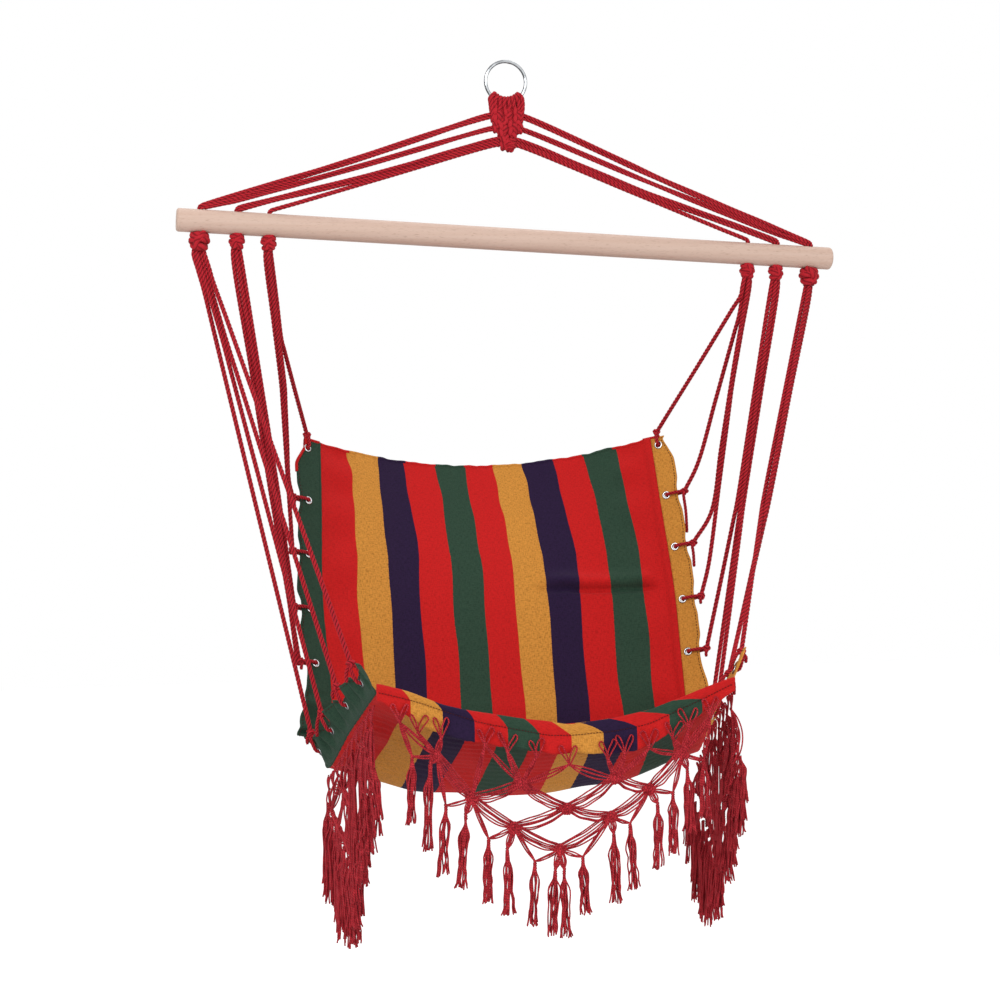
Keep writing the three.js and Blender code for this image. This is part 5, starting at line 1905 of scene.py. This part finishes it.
@dataclass
class NetFringe:
    """Knotted net of thin yarns with tassels, hung from one edge of the sling."""

    layout: FringeLayout
    place: Place
    seed: int
    scatter: float = 0.0
    splay: float = 0.0
    yarn_radius: float = 1.15
    link_yarns: int = 6
    lane: float = 2.3
    weave: float = 0.8
    rung_pitch: float = 8.0
    tassel_yarns: int = 13

    def shape(self) -> Shape:
        """Makes every yarn of the fringe."""
        shape = Shape()
        rng = np.random.default_rng(self.seed)
        spots = dict(self.layout.net)
        spots |= {f"first{i}": spot for i, spot in enumerate(self.layout.first)}
        for i, spot in enumerate(self.layout.first):
            self._ears(shape, rng, spot)
            self._nub(shape, spot, 2.5)
        for i, name in self.layout.to_net:
            self._strands(shape, rng, self.layout.first[i], spots[name], 3 if i % 2 else 4)
        for upper, lower in self.layout.links:
            self._link(shape, rng, spots[upper], spots[lower])
        for spot in self.layout.net.values():
            for lift in (-6.5, -2.2, 2.2, 6.5):
                self._nub(shape, (spot[0] + rng.uniform(-0.6, 0.6), spot[1] + lift), 2.7)
        for names in self.layout.ridges:
            self._ridge(shape, [spots[name] for name in names])
        for upper, lower in zip(self.layout.ridges, self.layout.ridges[1:]):
            self._rungs(shape, rng, [spots[name] for name in upper], [spots[name] for name in lower])
        for top, end, pulls in self.layout.gathers:
            for name in pulls:
                self._strands(shape, rng, spots[name], top, 3 if len(pulls) > 1 else 5, spread=0.9)
            self._tassel(shape, rng, top, end)
        return shape

    def _yarn(self, shape: Shape, flat: Points, out: Points, step: float = 3.4) -> None:
        """Adds one yarn from places on the hanging surface."""
        spots = evenly(np.column_stack([flat, out]), step)
        route = self.place(spots[:, 0], spots[:, 1], spots[:, 2])
        shape.tube(route, self.yarn_radius, ROUND_YARN)

    def _ears(self, shape: Shape, rng: np.random.Generator, spot: Spot) -> None:
        """Two petal loops that come out of the cloth and meet at a first knot."""
        a, h = spot
        for way in (-1, 1):
            tip_a = a + way * (self.layout.ear_spread * rng.uniform(0.8, 1.2))
            tip_h = h + self.layout.ear_height * rng.uniform(0.85, 1.1)
            wide = rng.uniform(2.4, 4.2)
            lean = way * rng.uniform(0.0, 2.0)
            flat = np.array([
                (a, h), (a + (tip_a - a) * 0.35 - wide * 0.8, h + (tip_h - h) * 0.4),
                (tip_a - wide - lean, h + (tip_h - h) * 0.82), (tip_a - wide * 0.2, tip_h),
                (tip_a + wide * 0.7, tip_h - 1.5), (tip_a + wide - lean, h + (tip_h - h) * 0.76),
                (a + (tip_a - a) * 0.45 + wide * 0.7, h + (tip_h - h) * 0.38), (a + way * 0.8, h - 1.0),
            ])
            out = np.array([1.2, 1.6, 0.8, -0.6, -0.6, 1.2, 1.8, 1.0]) + rng.uniform(-0.3, 0.3, 8)
            self._yarn(shape, flat, out, 2.6)

    def _strands(
        self, shape: Shape, rng: np.random.Generator, start: Spot, end: Spot, count: int, spread: float = 1.0,
    ) -> None:
        """Loose yarns between two knots."""
        a0, h0 = start
        a1, h1 = end
        length = sqrt((a1 - a0) ** 2 + (h1 - h0) ** 2)
        across = np.array([h1 - h0, a0 - a1]) / max(length, 1e-6)
        for k in range(count):
            lane = (k - (count - 1) / 2) * 2.6 * spread
            sag = rng.uniform(0.2, 1.0) * min(5.0, length * 0.07)
            flat = []
            for share in (0.0, 0.18, 0.4, 0.62, 0.84, 1.0):
                wide = sin(pi * share) ** 0.7 if 0 < share < 1 else 0.0
                spot = np.array([a0 + (a1 - a0) * share, h0 + (h1 - h0) * share])
                stray = rng.uniform(-0.5, 0.5, 2) * wide * (1 + 0.25 * self.scatter)
                spot = spot + across * lane * wide + stray
                spot[1] -= sag * wide * abs(a1 - a0) / max(length, 1e-6)
                flat.append(spot)
            reach = rng.uniform(-0.6, 1.2) + rng.uniform(-0.8, 0.8) * self.scatter - self.splay * a1
            out = 0.4 + 0.9 * np.sin(np.linspace(0, pi, 6)) * reach + 0.5 * (k % 2)
            self._yarn(shape, np.array(flat), out)

    def _link(self, shape: Shape, rng: np.random.Generator, start: Spot, end: Spot) -> None:
        """Yarns side by side from one net knot to the next, woven through both."""
        a, b = np.array(start), np.array(end)
        along = unit(b - a)
        across = np.array([-along[1], along[0]])
        half = self.lane * (self.link_yarns - 1) / 2 + 1.6
        way = 1 if b[0] > a[0] else -1
        length = float(np.linalg.norm(b - a))
        for k in range(self.link_yarns):
            lane = (k - (self.link_yarns - 1) / 2) * self.lane
            flat, out = [], []
            for centre in (a, b):
                for q in np.linspace(-half, half, 2 * self.link_yarns - 1):
                    flat.append(centre + across * lane * 0.92 + along * q)
                    out.append(way * self.weave * cos(pi * (q / self.lane + k)))
                if centre is a:
                    sag = rng.uniform(0.5, 1.0) * min(7.0, length * 0.08)
                    for share in (0.3, 0.5, 0.7):
                        spot = a + (b - a) * share + across * lane * (1.25 + rng.uniform(-0.1, 0.1))
                        spot[1] -= sag * sin(pi * share) * abs(along[0])
                        flat.append(spot + rng.uniform(-0.5, 0.5, 2))
                        out.append(rng.uniform(-0.8, 0.8))
            self._yarn(shape, np.array(flat), np.array(out), 3.0)

    def _ridge(self, shape: Shape, line: list[Spot]) -> None:
        """Row of hitches drawn tight along a line of net knots."""
        a, h = np.array(line).T
        marks = np.linspace(0, len(line) - 1, 13 * len(line))
        places = (np.interp(marks, range(len(line)), values) for values in (a, h))
        for k, (x, z) in enumerate(zip(*places)):
            self._nub(shape, (x, z + 0.8 * (-1) ** k), 3.3)

    def _rungs(self, shape: Shape, rng: np.random.Generator, upper: list[Spot], lower: list[Spot]) -> None:
        """Plumb yarns from one ridge down to the next."""
        tops, feet = (np.array(sorted(line)).T for line in (upper, lower))
        for a in np.arange(tops[0][0], tops[0][-1], self.rung_pitch):
            high, low = (float(np.interp(a, *line)) for line in (tops, feet))
            flat = np.column_stack([a + rng.uniform(-1.2, 1.2, 6), np.linspace(high, low, 6)])
            self._yarn(shape, flat, rng.uniform(0.4, 2.4, 6))

    def _nub(self, shape: Shape, spot: Spot, radius: float) -> None:
        """One small pulled knot."""
        a = spot[0] + np.array([-1.0, -0.55, 0.0, 0.55, 1.0]) * radius * 0.95
        h = spot[1] + np.array([-0.1, 0.1, -0.1, 0.1, -0.1]) * radius
        radii = np.array([0.45, 0.9, 1.0, 0.9, 0.45]) * radius * 0.9
        shape.tube(self.place(a, h, np.full(5, 0.4)), radii, np.array([1, 0.9, 1, 0.9, 1, 0.9]))

    def _tassel(self, shape: Shape, rng: np.random.Generator, top: Spot, end: Spot) -> None:
        """Collar and hanging yarns of one tassel."""
        a0, h0 = top
        a1, h1 = end
        collar = rng.uniform(8, 12)
        for lift in np.arange(0, collar, 3.2):
            self._nub(shape, (a0 + rng.uniform(-0.3, 0.3), h0 - lift), 2.5)
        length = h0 - h1
        lean = rng.uniform(-1, 1) * self.scatter
        beside = 0.4 - self.splay * a0
        for _ in range(self.tassel_yarns):
            turn = rng.uniform(0, tau)
            bulge = rng.uniform(3.4, 8.6)
            foot = rng.uniform(3.0, 10.5)
            over = rng.uniform(-0.05, 0.03) * length
            shares = (0.02, 0.14, 0.3, 0.42, 0.54, 0.66, 0.78, 0.9, 1.0)
            spans = (0.8, 1.4, bulge, bulge * 0.95, bulge * 0.8, bulge * 0.75, (bulge + foot) / 2.3,
                     (bulge + foot) / 2.1, foot)
            flat, out = [], []
            for share, span in zip(shares, spans):
                drift = turn + share * 1.3
                waver = rng.uniform(-1.1, 1.1) * (1 + 0.16 * self.scatter)
                flat.append((a0 + (a1 - a0) * share + cos(drift) * span + waver, h0 - (length + over) * share))
                out.append(sin(drift) * span * (0.6 + 0.04 * self.scatter) + lean * sqrt(share) + beside)
            self._yarn(shape, np.array(flat), np.array(out), 5.0)


@dataclass
class Fringes:
    """Front and side fringes of the sling."""

    sling: SlingLines
    hem: FrontHem
    margin: float = 9.0
    hang_gap: float = 6.0
    face_gap: float = 1.8

    def build(self, finishes: Finishes) -> None:
        """Makes the three fringes."""
        front = NetFringe(FRONT_LAYOUT, self._front_place, CHAIR_SEED).shape()
        piece = add_piece(front, "front_fringe_net", None, finishes.yarn, ["front_fringe"])
        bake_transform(piece)
        length = self.sling.edge_length
        seat = float(np.interp(self.sling.seat_share, *self.sling.down_edge()))
        run = length - seat - 2 * self.margin
        middle = (length + seat) / 2
        ends = self.sling.edge(np.array([self.sling.seat_share, 1.0]))
        outwards = unit(np.cross(ends[0] - ends[1], UP))
        for side, body, splay in ((Side.LEFT, Body.LEFT_FRINGE, 0.0), (Side.RIGHT, Body.RIGHT_FRINGE, 0.08)):
            def hang(a: Points, h: Points, out: Points, side: Side = side) -> Points:
                """Place on the side's hanging surface."""
                edge = self.sling.edge(self.sling.share_at(middle - a))
                spots = edge + UP * (h - self.hang_gap)[:, None] + outwards * out[:, None]
                return mirrored(spots, side) + ACROSS * self.sling.shift
            layout = side_layout(run, CHAIR_SEED + side.value)
            shape = NetFringe(layout, hang, CHAIR_SEED + 5 + side.value, scatter=7.0, splay=splay).shape()
            node = f"{side.word}_fringe"
            add_piece(shape, f"{node}_net", body, finishes.yarn, [node])

    def _front_place(self, a: Points, h: Points, out: Points) -> Points:
        """Place on the front's hanging surface."""
        y = self.hem.face_y(a) - self.face_gap - out
        return np.column_stack([a + self.sling.shift, y, h])


# Studio and camera.


@dataclass
class Studio:
    """Pale floor and backdrop under broad soft lamps."""

    floor_z: float = -1620.0
    floor_size: float = 16000.0
    key_watts: float = 50.0
    fill_watts: float = 21.0
    top_watts: float = 20.0
    room_strength: float = 0.52

    def build(self) -> None:
        """Makes the floor, the room light and the lamps."""
        bpy.ops.mesh.primitive_plane_add(size=self.floor_size * MM, location=(0, 0, self.floor_z * MM))
        floor = bpy.context.object
        floor.name = "studio_floor"
        settle(floor)
        floor.data.materials.append(self._paper())
        self._room()
        self._lamp("key", (-1500, -2400, 900), self.key_watts, 1800)
        self._lamp("fill", (2000, -2300, 0), self.fill_watts, 2000)
        self._lamp("top", (300, 700, 1700), self.top_watts, 1600)

    def _paper(self) -> bpy.types.Material:
        """Matt white paper that keeps a soft shadow."""
        material, tree, shader = new_material("matt_paper")
        place = add_node(tree, "TexCoord", {}).outputs["Object"]
        # A broad faint unevenness, as a paper roll has.
        grain = add_node(tree, "TexNoise", {"Vector": place, "Scale": 2.0})
        tone = add_node(tree, "Mix", {0: grain, 6: linear("#F6F6F6"), 7: linear("#F9F9F9")}, data_type="RGBA")
        seen = add_node(tree, "LightPath", {}).outputs["Is Camera Ray"]
        glow = add_node(tree, "Math", {0: seen, 1: 0.5}, operation="MULTIPLY")
        feed(tree, shader, {"Base Color": tone, "Emission Strength": glow, "Roughness": 0.95,
                            "Emission Color": (1, 1, 1, 1)})
        return material

    def _room(self) -> None:
        """Room light: white where it is seen, directly or in steel, and a plain level elsewhere."""
        world = bpy.data.worlds.new("studio_room")
        bpy.context.scene.world = world
        world.use_nodes = True
        tree = world.node_tree
        back = tree.nodes["Background"]
        path = add_node(tree, "LightPath", {}).outputs
        seen = {0: path["Is Camera Ray"], 1: path["Is Glossy Ray"]}
        for _ in range(2):
            seen = {0: add_node(tree, "Math", seen, operation="MAXIMUM"), 1: path["Is Transmission Ray"]}
        level = add_node(tree, "MapRange", {0: seen[0], 3: self.room_strength})
        feed(tree, back, {"Strength": level, "Color": (1, 1, 1, 1)})

    def _lamp(self, name: str, place: tuple[float, float, float], watts: float, size: float) -> None:
        """Adds one broad lamp turned to the chair's middle."""
        bpy.ops.object.light_add(type="AREA", location=tuple(v * MM for v in place))
        lamp = bpy.context.object
        lamp.name = f"studio_{name}"
        lamp.data.energy = watts
        lamp.data.size = size * MM
        aim = Vector((0, 0, -0.65)) - lamp.location
        lamp.rotation_euler = aim.to_track_quat("-Z", "Y").to_euler()


@dataclass
class ViewCamera:
    """Camera a little left of the front, level with the sling's top."""

    yaw: float = radians(12.0)
    roll: float = radians(0.85)
    distance: float = 3000.0
    height: float = -652.0
    offset: float = 17.6
    focal_pixels: float = 2009.0
    frame_pixels: float = 1000.0
    sensor_mm: float = 36.0

    def build(self) -> None:
        """Makes the camera and looks through it."""
        right = Vector((cos(self.yaw), -sin(self.yaw), 0))
        ahead = Vector((sin(self.yaw), cos(self.yaw), 0))
        up = Vector((0, 0, 1))
        turned_right = right * cos(self.roll) - up * sin(self.roll)
        turned_up = up * cos(self.roll) + right * sin(self.roll)
        place = (-right * self.offset - ahead * self.distance + up * self.height) * MM
        data = bpy.data.cameras.new("view")
        data.sensor_width = self.sensor_mm
        data.lens = self.focal_pixels / self.frame_pixels * self.sensor_mm
        camera = bpy.data.objects.new("view", data)
        bpy.context.scene.collection.objects.link(camera)
        basis = Matrix((turned_right, turned_up, -ahead)).transposed().to_4x4()
        camera.matrix_world = Matrix.Translation(place) @ basis
        bpy.context.scene.camera = camera


def main() -> None:
    """Builds the chair, its studio and the camera."""
    logging.basicConfig(level=logging.INFO, format="%(message)s")
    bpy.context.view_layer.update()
    bpy.context.scene.view_settings.view_transform = "Standard"
    ViewCamera().build()
    finishes = Finishes()
    bar, sling = BarLines(), SlingLines()
    flange = FlangeLines(sling)
    ring, hem = HangingRing(), FrontHem(sling)
    parts = (ring, HangerKnotwork(ring), UpperRopes(bar), SpreaderBar(bar), StopperKnots(bar),
             SuspensionCords(bar, flange), Eyelets(flange), SlingCloth(sling, flange), SideFlanges(flange),
             hem, Fringes(sling, hem))
    for part in parts:
        part.build(finishes)
        log.info("made %s", type(part).__name__)
    Studio().build()
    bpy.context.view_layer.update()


if __name__ == "__main__":
    main()
